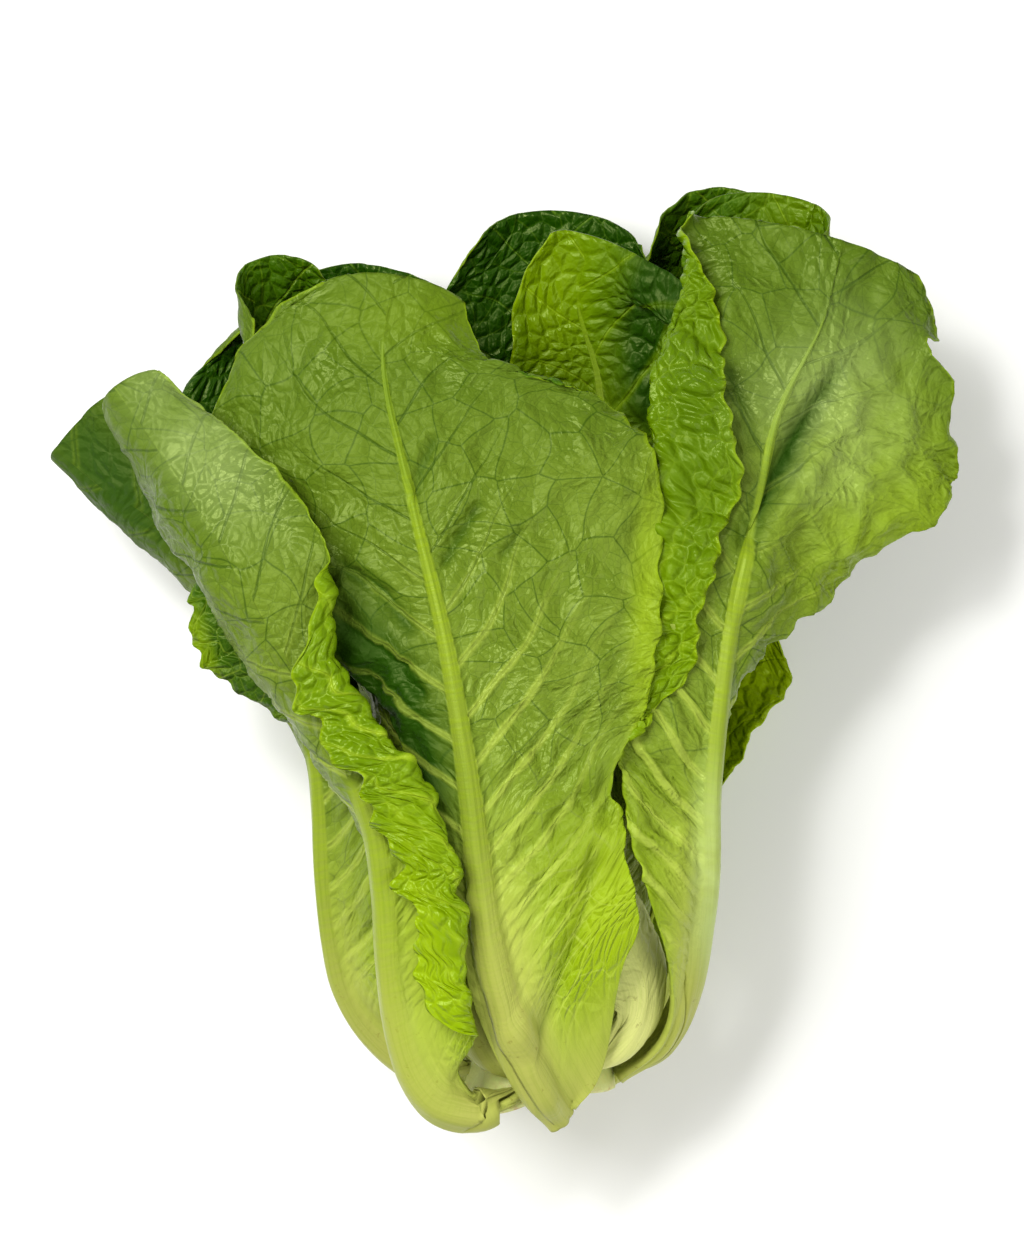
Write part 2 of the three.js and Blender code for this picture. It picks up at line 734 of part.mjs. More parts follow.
/** Moves a leaf by its pushes, spread smoothly over their neighbours. */
function applyPushes(s) {
  const mean = s.push.map((row, r) =>
    row.map((v, c) => (s.count[r][c] ? v.map((x) => x / s.count[r][c]) : v)),
  );
  for (let r = 0; r < s.rows; r += 1) {
    for (let c = 0; c < s.columns; c += 1) {
      const ring = [[r - 1, c], [r + 1, c], [r, c - 1], [r, c + 1]].filter(
        ([i, j]) => i >= 0 && j >= 0 && i < s.rows && j < s.columns,
      );
      const root = smooth(0, 2, r);
      for (let k = 0; k < 3; k += 1) {
        const around = ring.reduce((sum, [i, j]) => sum + mean[i][j][k], 0) / ring.length;
        s.now[r][c][k] += root * (0.6 * mean[r][c][k] + 0.4 * around);
      }
    }
  }
  // What has moved is eased towards a smooth displacement, so that the leaf keeps its form.
  const moved = s.now.map((row, r) => row.map((p, c) => add(p, s.start[r][c], -1)));
  for (let r = 0; r < s.rows; r += 1) {
    for (let c = 0; c < s.columns; c += 1) {
      const ring = [[r - 1, c], [r + 1, c], [r, c - 1], [r, c + 1]].filter(
        ([i, j]) => i >= 0 && j >= 0 && i < s.rows && j < s.columns,
      );
      for (let k = 0; k < 3; k += 1) {
        const around = ring.reduce((sum, [i, j]) => sum + moved[i][j][k], 0) / ring.length;
        s.now[r][c][k] = s.start[r][c][k] + mix(moved[r][c][k], around, 0.25);
      }
    }
  }
}

/** Keeps a leaf clear of the stem. */
function clearStem(s) {
  for (let r = 0; r < s.rows; r += 1) {
    for (let c = 0; c < s.columns; c += 1) {
      const p = s.now[r][c];
      if (p[1] > STEM.top + STEM.tipRadius + 3) continue;
      const dx = p[0] - STEM.x;
      const dz = p[2] - STEM.z;
      const radius = Math.hypot(dx, dz);
      const thick = s.thick[r][c].blade / 2 + (r < 1 ? 0.35 : 1.6);
      const least = stemRadius(p[1] - 2) + thick;
      if (radius < least) {
        p[0] = STEM.x + (dx * least) / radius;
        p[2] = STEM.z + (dz * least) / radius;
      }
    }
  }
}

/** Keeps a leaf above the surface that the head lies on, but for what is pressed flat. */
function clearFloor(s) {
  for (let r = 0; r < s.rows; r += 1) {
    for (let c = 0; c < s.columns; c += 1) {
      const down = Math.max(0, -s.normals[r][c][2]);
      const thick = s.thick[r][c];
      const pressed = Math.min(PRESSED, thick.blade * 0.25 + thick.rib);
      const least = thick.blade / 2 + thick.rib * down - pressed * down;
      s.now[r][c][2] = Math.max(s.now[r][c][2], least);
    }
  }
}

// ---- solids -------------------------------------------------------------------------------

/** A settled leaf as a closed solid: its back with the rib, its face, and the rim between. */
function leafGeometry(s) {
  const normals = normalsOf(s.now);
  const positions = [];
  const back = [];
  const face = [];
  s.now.forEach((row, r) => {
    back.push([]);
    face.push([]);
    row.forEach((p, c) => {
      const { blade, rib } = s.thick[r][c];
      const outer = add(p, normals[r][c], blade / 2 + rib);
      const inner = add(p, normals[r][c], -blade / 2);
      back[r].push(positions.push(outer) - 1);
      face[r].push(positions.push(inner) - 1);
    });
  });
  for (const p of positions) p[2] = Math.max(p[2], 0);
  const index = [];
  const quad = (a, b, c, d) => index.push(a, b, c, a, c, d);
  const rows = s.rows - 1;
  const columns = s.columns - 1;
  for (let r = 0; r < rows; r += 1) {
    for (let c = 0; c < columns; c += 1) {
      quad(back[r][c], back[r][c + 1], back[r + 1][c + 1], back[r + 1][c]);
      index.push(face[r][c], face[r + 1][c + 1], face[r][c + 1]);
      index.push(face[r][c], face[r + 1][c], face[r + 1][c + 1]);
    }
  }
  for (let c = 0; c < columns; c += 1) {
    quad(back[0][c], face[0][c], face[0][c + 1], back[0][c + 1]);
    quad(back[rows][c], back[rows][c + 1], face[rows][c + 1], face[rows][c]);
  }
  for (let r = 0; r < rows; r += 1) {
    quad(back[r][0], back[r + 1][0], face[r + 1][0], face[r][0]);
    quad(back[r][columns], face[r][columns], face[r + 1][columns], back[r + 1][columns]);
  }
  const geometry = new THREE.BufferGeometry();
  geometry.setAttribute("position", new THREE.Float32BufferAttribute(positions.flat(), 3));
  geometry.setIndex(index);
  return geometry;
}

/** A named mesh of one colour. */
function meshOf(name, geometry, color) {
  const material = new THREE.MeshStandardMaterial({ color, roughness: 0.5, metalness: 0 });
  const mesh = new THREE.Mesh(geometry, material);
  mesh.name = name;
  return mesh;
}

// ---- the head -----------------------------------------------------------------------------

const head = new THREE.Group();
head.add(meshOf("stem", stemMesh(), GREEN.stem));
for (const sheet of settle(LEAVES)) {
  const { name, group } = sheet.leaf;
  head.add(meshOf(name, leafGeometry(sheet), GREEN[group]));
}
head.position.set(-SHIFT[0], -SHIFT[1], 0);

export default head;
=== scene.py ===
"""A head of romaine lettuce, cut from its root and laid on its back.

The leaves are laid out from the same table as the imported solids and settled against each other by
the same rules, then drawn finer: with thin blades, wavy margins, raised veins and blisters.
"""

import logging
import math
from dataclasses import dataclass
from enum import Enum
from functools import reduce
from typing import Any, Optional, Sequence

import bpy
import numpy as np
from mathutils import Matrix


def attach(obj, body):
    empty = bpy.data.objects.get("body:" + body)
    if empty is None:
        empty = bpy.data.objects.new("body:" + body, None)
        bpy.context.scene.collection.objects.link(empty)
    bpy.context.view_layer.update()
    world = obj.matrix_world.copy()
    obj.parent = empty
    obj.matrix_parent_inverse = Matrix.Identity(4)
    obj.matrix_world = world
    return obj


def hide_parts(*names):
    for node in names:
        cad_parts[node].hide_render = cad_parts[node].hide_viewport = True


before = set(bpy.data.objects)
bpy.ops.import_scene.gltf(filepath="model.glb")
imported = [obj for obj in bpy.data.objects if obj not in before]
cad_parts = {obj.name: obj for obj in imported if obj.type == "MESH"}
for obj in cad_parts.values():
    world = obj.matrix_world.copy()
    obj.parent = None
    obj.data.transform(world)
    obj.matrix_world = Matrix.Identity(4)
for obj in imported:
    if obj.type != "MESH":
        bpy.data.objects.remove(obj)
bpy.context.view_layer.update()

LOG = logging.getLogger("lettuce")
Vector = tuple[float, ...]
Array = np.ndarray
Socket = Any

MM = 0.001
# Lengths are in millimetres until they are handed to Blender.
STEM_X, STEM_Z = 2.0, 50.0  # the stem's axis
STEM_BUTT, STEM_TOP = 10.0, 68.0  # heights of its thick end and of its growing tip
STEM_RADIUS, STEM_TIP = 17.5, 4.0  # its radii there
BLADE = 0.9  # thickness of a packed leaf's blade, away from its base
THIN = 0.46  # thickness of a real blade
BASE_EXTRA = 1.6  # what a blade is thicker by at its base
BASE_SHARE = 0.28  # share of a leaf's length over which that fades
CLEAR = 1.5  # room between the faces of two leaves
PRESSED = 0.7  # how far the lowest ribs and blades are pressed flat by the surface
BOW = 0.65  # how much of a blade's turn comes close to the midrib: 1 none, 0 all
FOLD_ARC = 9.5  # length of blade in the turn of a rolled margin
RIB_SPREAD = 1.15  # where the rib's columns end, in rib half-widths
SHIFT = (-11.66, 139.66)  # from the layout's own origin to the middle of the head, x and y


class Layer(Enum):
    """Where in the head a leaf grows."""

    FRONT = "front"
    BACK = "back"
    HEART = "heart"


class Edge(Enum):
    """A side of a leaf, seen from its back with the tip up."""

    LEFT = -1
    RIGHT = 1


class Finish(Enum):
    """The finishes that the faces of the leaves are given."""

    DULL = "dull"
    LUSH = "lush"
    BRIGHT = "bright"
    DEEP = "deep"
    YOUNG = "young"
    CREAM = "cream"


@dataclass(frozen=True)
class Fold:
    """A margin rolled over the leaf's back: its side, how far out it creases, and its turn."""

    edge: Edge
    line: Vector
    turn: float


@dataclass(frozen=True)
class Crease:
    """A ridge or a furrow of a blade, along points seen from above, in millimetres."""

    points: tuple[tuple[float, float], ...]
    height: float
    width: float


@dataclass(frozen=True)
class Patch:
    """An oval place on a leaf, seen from above: its middle, half-sizes, turn and strength."""

    at: tuple[float, float]
    size: tuple[float, float]
    turn: float
    strength: float


@dataclass(frozen=True)
class Leaf:
    """One leaf: where it grows, its midrib, its half-widths from base to tip, and its finish.

    A leaf lies outside every leaf of lower rank that it meets. root is the angle round the stem
    and the height at which it grows; facing is which way its back looks, 0 up and 90 right; cup
    is how far each side has turned inwards by its margin; hold is how little it gives way when
    the leaves are settled. rib is the half-width and the height of its rib, and blunt is how far
    the sides of its tip are drawn back. wave is the height and the number of its margin's broad
    waves, frill the height of the small ones, and scallop how far the crease of a rolled margin
    wanders. grain is the spacing of its fine points, and blister the strength of its relief.
    rib_ends is the share of its length where the rib sinks into the blade, and tuck is what is
    left of the right half's width at the very base. steady is how far along the leaf its
    direction is averaged, and tear is a notch in its right margin: where it is and half its
    mouth, as shares of the length, and its depth. creases are its ridges and furrows; pale paints
    its grey-green bloom, partly a painted sheen; and patches paint shade, with strengths below 0,
    and painted light, partly a yellower tone, above.
    washed-out stains, and patches its deeper places, with strengths below 0, and brighter ones.
    """

    name: str
    rank: float
    layer: Layer
    root: Vector
    midrib: tuple[Vector, ...]
    facing: Vector
    left: Vector
    right: Vector
    cup_left: Vector
    cup_right: Vector
    columns: tuple[int, int]
    rows: int
    hold: float
    wave: Vector = (2.0, 4.0)
    rib: Vector = (7.0, 4.5)
    blunt: float = 0.45
    fold: Optional[Fold] = None
    back: Finish = Finish.DULL
    face: Finish = Finish.DEEP
    grain: float = 2.0
    blister: float = 0.8
    frill: float = 0.8
    steady: float = 0.0
    tear: tuple[float, ...] = ()
    scallop: float = 0.0
    rib_ends: float = 0.95
    tuck: float = 1.0
    pale: tuple[Patch, ...] = ()
    creases: tuple[Crease, ...] = ()
    patches: tuple[Patch, ...] = ()


# ---- the leaves ---------------------------------------------------------------------------

# In each leaf, patches below 0 paint shade and those above paint light, partly a yellower tone;
# pale paints a grey-green bloom, partly a sheen.
LEAVES = [
    Leaf(
        name="leaf_front", rank=30, layer=Layer.FRONT, root=(6, 5),
        midrib=((-6.5, 24, 84), (-13.5, 46, 95), (-17.5, 73, 100), (-21, 103, 102),
                (-28, 145, 101), (-39.5, 193, 98), (-46.5, 228, 94), (-43, 253, 89)),
        facing=(4, 0, 0),
        left=(5, 8, 9, 9, 14, 26, 38, 50, 61, 54, 20),
        right=(5, 42, 45, 42, 46, 60, 70, 74, 66, 43, 24),
        cup_left=(20, 30, 35, 25), cup_right=(6, 15, 14, 12),
        wave=(2.2, 4.5), rib=(8, 5.5), blunt=0.3, columns=(7, 7), rows=20, hold=0.8,
        face=Finish.LUSH, grain=0.95, blister=1.0, frill=1.2,
        creases=(
            Crease(((-26, 45), (-23, 56), (-18, 67)), -1.8, 2.2),
            Crease(((-18, 25), (-12, 36), (-5, 47)), -2.0, 2.2),
            Crease(((0, 29), (7, 39)), -1.2, 1.8),
            Crease(((-51, 29), (-36, 21), (-24, 5)), -1.8, 2.4),
            Crease(((-50, 11), (-33, 0), (-21, -13)), -2.0, 2.6),
            Crease(((-46, -8), (-31, -20), (-19, -34)), -1.8, 2.4),
            Crease(((7, -122), (15, -102), (24, -78), (30, -50)), -1.6, 2.6),
            Crease(((1, -118), (9, -98), (17, -74), (24, -46)), 1.2, 3.0),
        ),
        patches=(
            # Painted shade beside the rolled margin of leaf_left_upper.
            Patch((-34, -16), (20, 56), 25, -1.2),
            Patch((-22, -62), (10, 34), 8, -0.15),
            Patch((34, -78), (16, 50), -16, 0.55),
            Patch((43, 10), (6, 52), -2, 0.6),
            Patch((-20, 100), (40, 14), 0, 0.15),
        ),
    ),
    Leaf(
        name="leaf_left_upper", rank=33, layer=Layer.FRONT, root=(-27, 8),
        midrib=((-13, 4.5, 71), (-22, 3.5, 75), (-31, 7.5, 79), (-37.5, 17, 83), (-42, 32, 88),
                (-44.6, 50, 93), (-46, 70, 98), (-49, 88, 101), (-57, 108, 103), (-69, 131, 104),
                (-83, 155, 103), (-97, 178, 99), (-111, 199, 93), (-126, 220, 86)),
        facing=(-38, -18, -8),
        left=(5, 8, 10, 12, 16, 24, 30, 34, 33, 27, 12),
        right=(6, 18, 41, 43, 47, 37, 32, 27, 26, 21, 13),
        cup_left=(40, 120, 135, 120), cup_right=(15, 10, 15, 20),
        fold=Fold(Edge.RIGHT, (30, 23, 22, 23, 20, 13, 10, 22, 36, 40, 40), 176),
        wave=(1.6, 6), rib=(8.5, 5.5), blunt=0.35, columns=(6, 9), rows=24, hold=0.75,
        face=Finish.BRIGHT, grain=1.0, blister=0.9, frill=0.9, scallop=1.5,
        rib_ends=0.52, tuck=0.45,
        patches=(Patch((-24, -90), (10, 50), 6, 0.5),),
        pale=(Patch((-90, 66), (16, 40), 35, 0.3),),
    ),
    Leaf(
        name="leaf_left_lower", rank=31, layer=Layer.FRONT, root=(-76, 14),
        midrib=((-26, 14, 46), (-39, 17, 44), (-51, 27, 45), (-59, 40, 48), (-62.5, 54, 52),
                (-65, 72, 57), (-67, 92, 61), (-70, 108, 64), (-77, 123, 66), (-87, 140, 66),
                (-101, 158, 64), (-123, 181, 56), (-147, 202, 48)),
        facing=(-78, -52, -46, -38, -35),
        left=(5, 8, 9, 10, 12, 16, 22, 26, 26, 24, 12),
        right=(5, 14, 18, 20, 22, 36, 52, 50, 29, 33, 36),
        cup_left=(40, 110, 120, 110), cup_right=(15, 10, 10, 20),
        fold=Fold(Edge.RIGHT, (30, 30, 30, 28, 26, 16, 12, 12, 13, 20, 31), 172),
        wave=(1.6, 5), rib=(7.5, 5), blunt=0.3, columns=(6, 9), rows=22, hold=0.75,
        face=Finish.LUSH, grain=1.1, blister=0.9, frill=0.9, scallop=0.6,
        rib_ends=0.55,
        patches=(
            Patch((-90, 2), (7, 26), 20, 0.5), Patch((-72, 2), (13, 20), 25, -0.8),
            Patch((-118, 55), (44, 18), -50, -0.95),
        ),
    ),
    Leaf(
        name="leaf_right", rank=28, layer=Layer.FRONT, root=(84, 15),
        midrib=((34, 25, 53), (43, 42, 62), (47.5, 60, 74), (49.8, 76, 83), (50.5, 99, 88),
                (53.4, 127, 90), (57.6, 155, 90), (64, 183, 88), (69.6, 211, 85), (81, 238, 81),
                (88.5, 264, 77)),
        facing=(82, 48, 22, 12, 6),
        left=(5, 10, 17, 26, 29, 41, 48, 62, 64, 53, 45),
        right=(5, 8, 9, 9, 9, 12, 33, 55, 60, 50, 28),
        cup_left=(20, 20, 15, 15), cup_right=(30, 90, 20, 20),
        fold=Fold(Edge.LEFT, (36, 36, 36, 32, 25, 21, 24, 30, 35, 38, 39), 176),
        wave=(2.2, 5), rib=(7.5, 5), blunt=0.12, columns=(9, 8), rows=22, hold=0.85,
        face=Finish.BRIGHT, grain=1.0, blister=1.4, frill=1.1, scallop=0.5,
        steady=0.07, tear=(0.93, 0.018, 9.0),
        creases=(
            Crease(((71, 29), (78, 45), (90, 68), (105, 92)), -4.5, 4.0),
            Crease(((71, 8), (74, 21), (78, 36), (86, 50), (98, 63), (112, 78)), 2.6, 4.0),
            Crease(((66, 90), (72, 74), (76, 60)), -1.6, 2.4),
        ),
        pale=(Patch((100, 70), (30, 40), 0, 0.3), Patch((62, -76), (7, 46), 0, 0.9)),
        patches=(
            Patch((112, 44), (34, 50), 0, 0.5),
            Patch((84, 58), (5, 24), -30, -0.55),
            Patch((57, 60), (14, 50), 0, -0.35),
        ),
    ),
    Leaf(
        name="leaf_front_right", rank=27.5, layer=Layer.FRONT, root=(36, 12),
        midrib=((25, 15, 69), (34, 25, 70), (34, 38, 70), (25, 56, 72), (15, 78, 77),
                (8, 110, 80), (2, 150, 79), (-4, 190, 75)),
        facing=(30, 12, 0),
        left=(5, 11, 13, 15, 18, 22, 26, 30, 30, 18),
        right=(5, 10, 12, 9, 7, 8, 10, 14, 16, 11),
        cup_left=(30, 40, 40, 30), cup_right=(40, 60, 50, 40),
        rib=(9.5, 5), columns=(5, 5), rows=14, hold=0.5,
        back=Finish.CREAM, face=Finish.LUSH, grain=1.3, blister=0.5, frill=0.6, rib_ends=0.02,
    ),
    Leaf(
        name="leaf_front_inner", rank=27, layer=Layer.FRONT, root=(52, 22),
        midrib=((22, 33, 70), (28, 52, 76), (31, 85, 79), (31, 125, 80), (27, 170, 75),
                (24, 205, 68)),
        facing=(34, 15, 5),
        left=(5, 11, 17, 24, 30, 34, 34, 20),
        right=(5, 12, 18, 22, 25, 30, 30, 18),
        cup_left=(30, 40, 45, 40), cup_right=(30, 50, 60, 50),
        wave=(2.2, 4), rib=(7, 4), columns=(5, 5), rows=13, hold=0.35,
        face=Finish.LUSH, blister=0.7,
    ),
    Leaf(
        name="leaf_left_inner", rank=26, layer=Layer.FRONT, root=(-18, 17),
        midrib=((-15, 27, 74), (-25, 51, 81), (-31, 90, 84), (-37, 135, 82), (-43, 180, 76),
                (-46, 208, 68)),
        facing=(-22, -20, -15),
        left=(6, 13, 18, 26, 31, 32, 26, 14),
        right=(6, 13, 20, 28, 34, 38, 36, 22),
        cup_left=(30, 70, 70, 50), cup_right=(30, 40, 40, 40),
        wave=(2.2, 4), rib=(7.5, 4.5), columns=(5, 5), rows=13, hold=0.35,
        face=Finish.LUSH, blister=0.7,
    ),
    Leaf(
        name="leaf_back_inner", rank=22, layer=Layer.BACK, root=(170, 22),
        midrib=((4, 30, 27), (6, 55, 21), (10, 100, 22), (16, 150, 26), (19, 195, 31),
                (17, 225, 37), (11, 248, 44), (15, 267, 52)),
        facing=(176, 172, 170),
        left=(5, 12, 18, 26, 34, 40, 47, 43),
        right=(5, 12, 18, 26, 30, 30, 25, 12),
        cup_left=(30, 60, 48, 36), cup_right=(30, 50, 40, 30),
        wave=(1.5, 4), rib=(7, 4.5), blunt=0.2, columns=(7, 6), rows=18, hold=0.4,
        face=Finish.BRIGHT, grain=1.4, blister=1.0, frill=0.9,
        # Painted shade where this leaf curves up into the hollow beside leaf_right.
        patches=(Patch((50, 96), (19, 44), 0, -1.4), Patch((14, 112), (14, 30), 0, 0.3)),
    ),
    Leaf(
        name="leaf_back_right_upper", rank=23, layer=Layer.BACK, root=(122, 20),
        midrib=((20, 30, 33), (28, 60, 27), (40, 115, 27), (54, 175, 33), (69, 225, 43),
                (83, 276, 58)),
        facing=(135, 145, 150),
        left=(5, 11, 16, 24, 32, 34, 34, 22),
        right=(5, 11, 16, 24, 30, 34, 38, 34),
        cup_left=(30, 60, 50, 60), cup_right=(30, 50, 50, 60),
        wave=(3.5, 6), rib=(6.5, 4), columns=(6, 5), rows=17, hold=0.4,
        face=Finish.LUSH, grain=1.5, blister=1.0, frill=1.2,
        patches=(Patch((90, 140), (16, 80), -20, 0.25),),
    ),
    Leaf(
        name="leaf_back_right", rank=25, layer=Layer.BACK, root=(146, 15),
        midrib=((18, 26, 24), (26, 57, 14), (34, 110, 11), (42, 170, 13), (50, 225, 19),
                (57, 260, 30), (58, 282, 42)),
        facing=(150, 160, 170),
        left=(5, 12, 18, 28, 38, 42, 40, 22),
        right=(5, 12, 18, 28, 38, 42, 42, 28),
        cup_left=(30, 60, 50, 50), cup_right=(30, 45, 50, 70),
        rib=(7.5, 5), columns=(5, 6), rows=16, hold=0.4,
        face=Finish.LUSH, grain=1.5, blister=1.0, frill=0.9,
    ),
    Leaf(
        name="leaf_back_middle", rank=32, layer=Layer.BACK, root=(182, 11),
        midrib=((0, 22, 15), (-1, 48, 5.5), (0, 95, 2.5), (2, 155, 1.5), (4, 215, 6), (5, 276, 18)),
        facing=(182, 180, 180),
        left=(5, 12, 18, 28, 40, 48, 48, 26),
        right=(5, 12, 18, 28, 40, 48, 48, 26),
        cup_left=(30, 50, 30, 25), cup_right=(30, 50, 30, 25),
        rib=(8.5, 6), columns=(6, 6), rows=17, hold=0.6,
        grain=1.8, blister=1.0, frill=0.9,
    ),
    Leaf(
        name="leaf_back_left", rank=28, layer=Layer.BACK, root=(-148, 13),
        midrib=((-18, 25, 23), (-30, 57, 8.5), (-41, 110, 1), (-51, 170, -0.5), (-56, 220, 5),
                (-54, 260, 19)),
        facing=(-150, -162, -170),
        left=(5, 12, 18, 28, 38, 46, 48, 30),
        right=(5, 12, 18, 28, 40, 56, 68, 38),
        cup_left=(30, 60, 50, 35), cup_right=(30, 50, 35, 25),
        wave=(2.5, 4), rib=(7.5, 5), columns=(6, 6), rows=16, hold=0.4,
        grain=1.8, blister=1.0, frill=0.9,
    ),
    Leaf(
        name="leaf_back_left_upper", rank=24, layer=Layer.BACK, root=(-130, 21),
        midrib=((-15, 33, 34), (-27, 62, 29), (-42, 115, 29), (-59, 170, 35), (-73, 212, 46),
                (-84, 240, 58), (-88, 257, 68)),
        facing=(-132, -145, -145),
        left=(5, 11, 16, 24, 32, 36, 34, 22),
        right=(5, 11, 16, 24, 32, 36, 32, 20),
        cup_left=(30, 50, 50, 50), cup_right=(30, 60, 70, 70),
        rib=(6.5, 4), columns=(6, 6), rows=16, hold=0.4,
        face=Finish.LUSH, grain=1.5, blister=1.0, frill=0.9,
    ),
    Leaf(
        name="leaf_left_under", rank=26.5, layer=Layer.BACK, root=(-111, 15),
        midrib=((-26, 26, 35), (-41, 44, 26), (-51, 75, 21), (-58, 115, 21), (-68, 155, 22),
                (-78, 190, 25)),
        facing=(-112, -135, -150),
        left=(5, 11, 16, 24, 32, 38, 36, 22),
        right=(5, 9, 10, 10, 14, 20, 24, 18),
        cup_left=(30, 50, 40, 30), cup_right=(30, 70, 60, 50),
        wave=(2.2, 4), rib=(7, 4.5), columns=(5, 5), rows=14, hold=0.4,
    ),
    Leaf(
        name="leaf_right_under", rank=35, layer=Layer.BACK, root=(111, 12),
        midrib=((26, 20, 34), (38, 39, 19), (45, 72, 9), (49, 105, 4), (54, 135, 2.5),
                (59, 164, 5)),
        facing=(108, 145, 165),
        left=(5, 7, 6, 6, 8, 20, 25, 15),
        right=(5, 11, 16, 24, 34, 38, 34, 20),
        cup_left=(30, 60, 30, 10), cup_right=(30, 50, 40, 30),
        wave=(2.5, 4), rib=(7.5, 5), columns=(5, 5), rows=15, hold=0.5,
        back=Finish.LUSH, face=Finish.BRIGHT, grain=1.5,
        # Painted light on the lobe that lies in the shade of leaf_right.
        patches=(Patch((76, -10), (30, 40), 0, 1.6),),
    ),
]


def heart_leaves() -> list[Leaf]:
    """The young leaves inside the head, wrapped round its axis and smaller inwards.

    Returns:
        The leaves, outermost first.
    """
    count, golden_angle = 5, 137.5
    leaves = []
    for i in range(count):
        inner = i / (count - 1)
        facing = (70.0 + i * golden_angle + 180.0) % 360.0 - 180.0
        out = (math.sin(math.radians(facing)), math.cos(math.radians(facing)))
        length, reach = mix(205.0, 110.0, inner), mix(23.0, 8.0, inner)
        base, lean = mix(28.0, 60.0, inner), mix(-30.0, -16.0, inner)
        curl = tuple(angle * mix(1.0, 0.55, inner) for angle in (35, 80, 85, 75))
        width = tuple(w * mix(1.0, 0.5, inner) for w in (6, 11, 16, 21, 24, 20, 10))
        start = float(stem_radius(base)) + 1.5
        midrib = []
        for t in (0.07, 0.22, 0.5, 0.78, 1.0):
            r = mix(start, reach, float(smooth(0.0, 0.3, t))) * (1.0 - 0.5 * max(0.0, t - 0.7))
            x, z = STEM_X + lean * t * t + r * out[0], STEM_Z + r * out[1]
            midrib.append((x, base + (length - base) * t, z))
        leaves.append(
            Leaf(
                name=f"leaf_heart_{i + 1}", rank=16 - i, layer=Layer.HEART, root=(facing, base),
                midrib=tuple(midrib), facing=(facing,) * 3, left=width, right=width,
                cup_left=curl, cup_right=curl, wave=(1.2, 3.0),
                rib=(mix(6.0, 3.0, inner), mix(3.5, 2.0, inner)), columns=(4, 4), rows=10,
                hold=0.15, back=Finish.YOUNG, face=Finish.YOUNG, blister=0.5, frill=0.5,
            )
        )
    return leaves


# ---- curves and vectors -------------------------------------------------------------------


def mix(a: Any, b: Any, t: Any) -> Any:
    """The value a share t of the way from a to b."""
    return a + (b - a) * t


def smooth(low: float, high: float, x: Any) -> Any:
    """0 below low, 1 above high and an even ease between them."""
    t = np.clip((np.asarray(x, float) - low) / (high - low), 0.0, 1.0)
    return t * t * (3.0 - 2.0 * t)


def unit(a: Array) -> Array:
    """The vectors a, each of length one."""
    size = np.linalg.norm(a, axis=-1, keepdims=True)
    return a / np.where(size > 0.0, size, 1.0)


def dot(a: Array, b: Array) -> Array:
    """The dot products of two arrays of vectors."""
    return (a * b).sum(-1)


def through(knots: Sequence[float], values: Sequence[float], t: Any) -> Array:
    """The value at t of a smooth curve through values.

    Args:
        knots: Where the values lie, rising.
        values: What the curve passes through.
        t: Where to read it.

    Returns:
        The curve's values, in the shape of t.
    """
    k, v, t = np.asarray(knots, float), np.asarray(values, float), np.asarray(t, float)
    last = len(k) - 1
    before = np.maximum(0, np.arange(last + 1) - 1)
    after = np.minimum(last, np.arange(last + 1) + 1)
    slope = (v[after] - v[before]) / (k[after] - k[before])
    i = np.searchsorted(k[1:last], t, side="left")
    h = k[i + 1] - k[i]
    s = np.clip((t - k[i]) / h, 0.0, 1.0)
    s2, s3 = s * s, s * s * s
    start = (2 * s3 - 3 * s2 + 1) * v[i] + (s3 - 2 * s2 + s) * h * slope[i]
    return start + (3 * s2 - 2 * s3) * v[i + 1] + (s3 - s2) * h * slope[i + 1]


def along(values: Sequence[float], t: Any) -> Array:
    """The value at t from 0 to 1 of a smooth curve through evenly spaced values."""
    return through(np.linspace(0.0, 1.0, len(values)), values, t)


def resample(values: Array, at: Array) -> Array:
    """Rows of an array read between its rows.

    Args:
        values: The array, with its rows one apart.
        at: The rows to read, which may be between two.

    Returns:
        A smooth curve through the rows, at each place asked for.
    """
    last = len(values) - 1
    i = np.clip(np.floor(at).astype(int), 0, last - 1)
    s = (at - i).reshape(-1, *([1] * (values.ndim - 1)))
    before, after = np.maximum(i - 1, 0), np.minimum(i + 2, last)
    slope0 = (values[i + 1] - values[before]) / (i + 1 - before).reshape(s.shape)
    slope1 = (values[after] - values[i]) / (after - i).reshape(s.shape)
    s2, s3 = s * s, s * s * s
    start = (2 * s3 - 3 * s2 + 1) * values[i] + (s3 - 2 * s2 + s) * slope0
    return start + (3 * s2 - 2 * s3) * values[i + 1] + (s3 - s2) * slope1


def normals_of(grid: Array) -> Array:
    """The directions in which a grid's back looks.

    Args:
        grid: Points, in rows from base to tip and columns from left to right.

    Returns:
        The normal at each point.
    """
    edge = np.pad(grid, ((1, 1), (1, 1), (0, 0)), mode="edge")
    lengthwise = edge[2:, 1:-1] - edge[:-2, 1:-1]
    across = edge[1:-1, 2:] - edge[1:-1, :-2]
    return unit(np.cross(across, lengthwise))


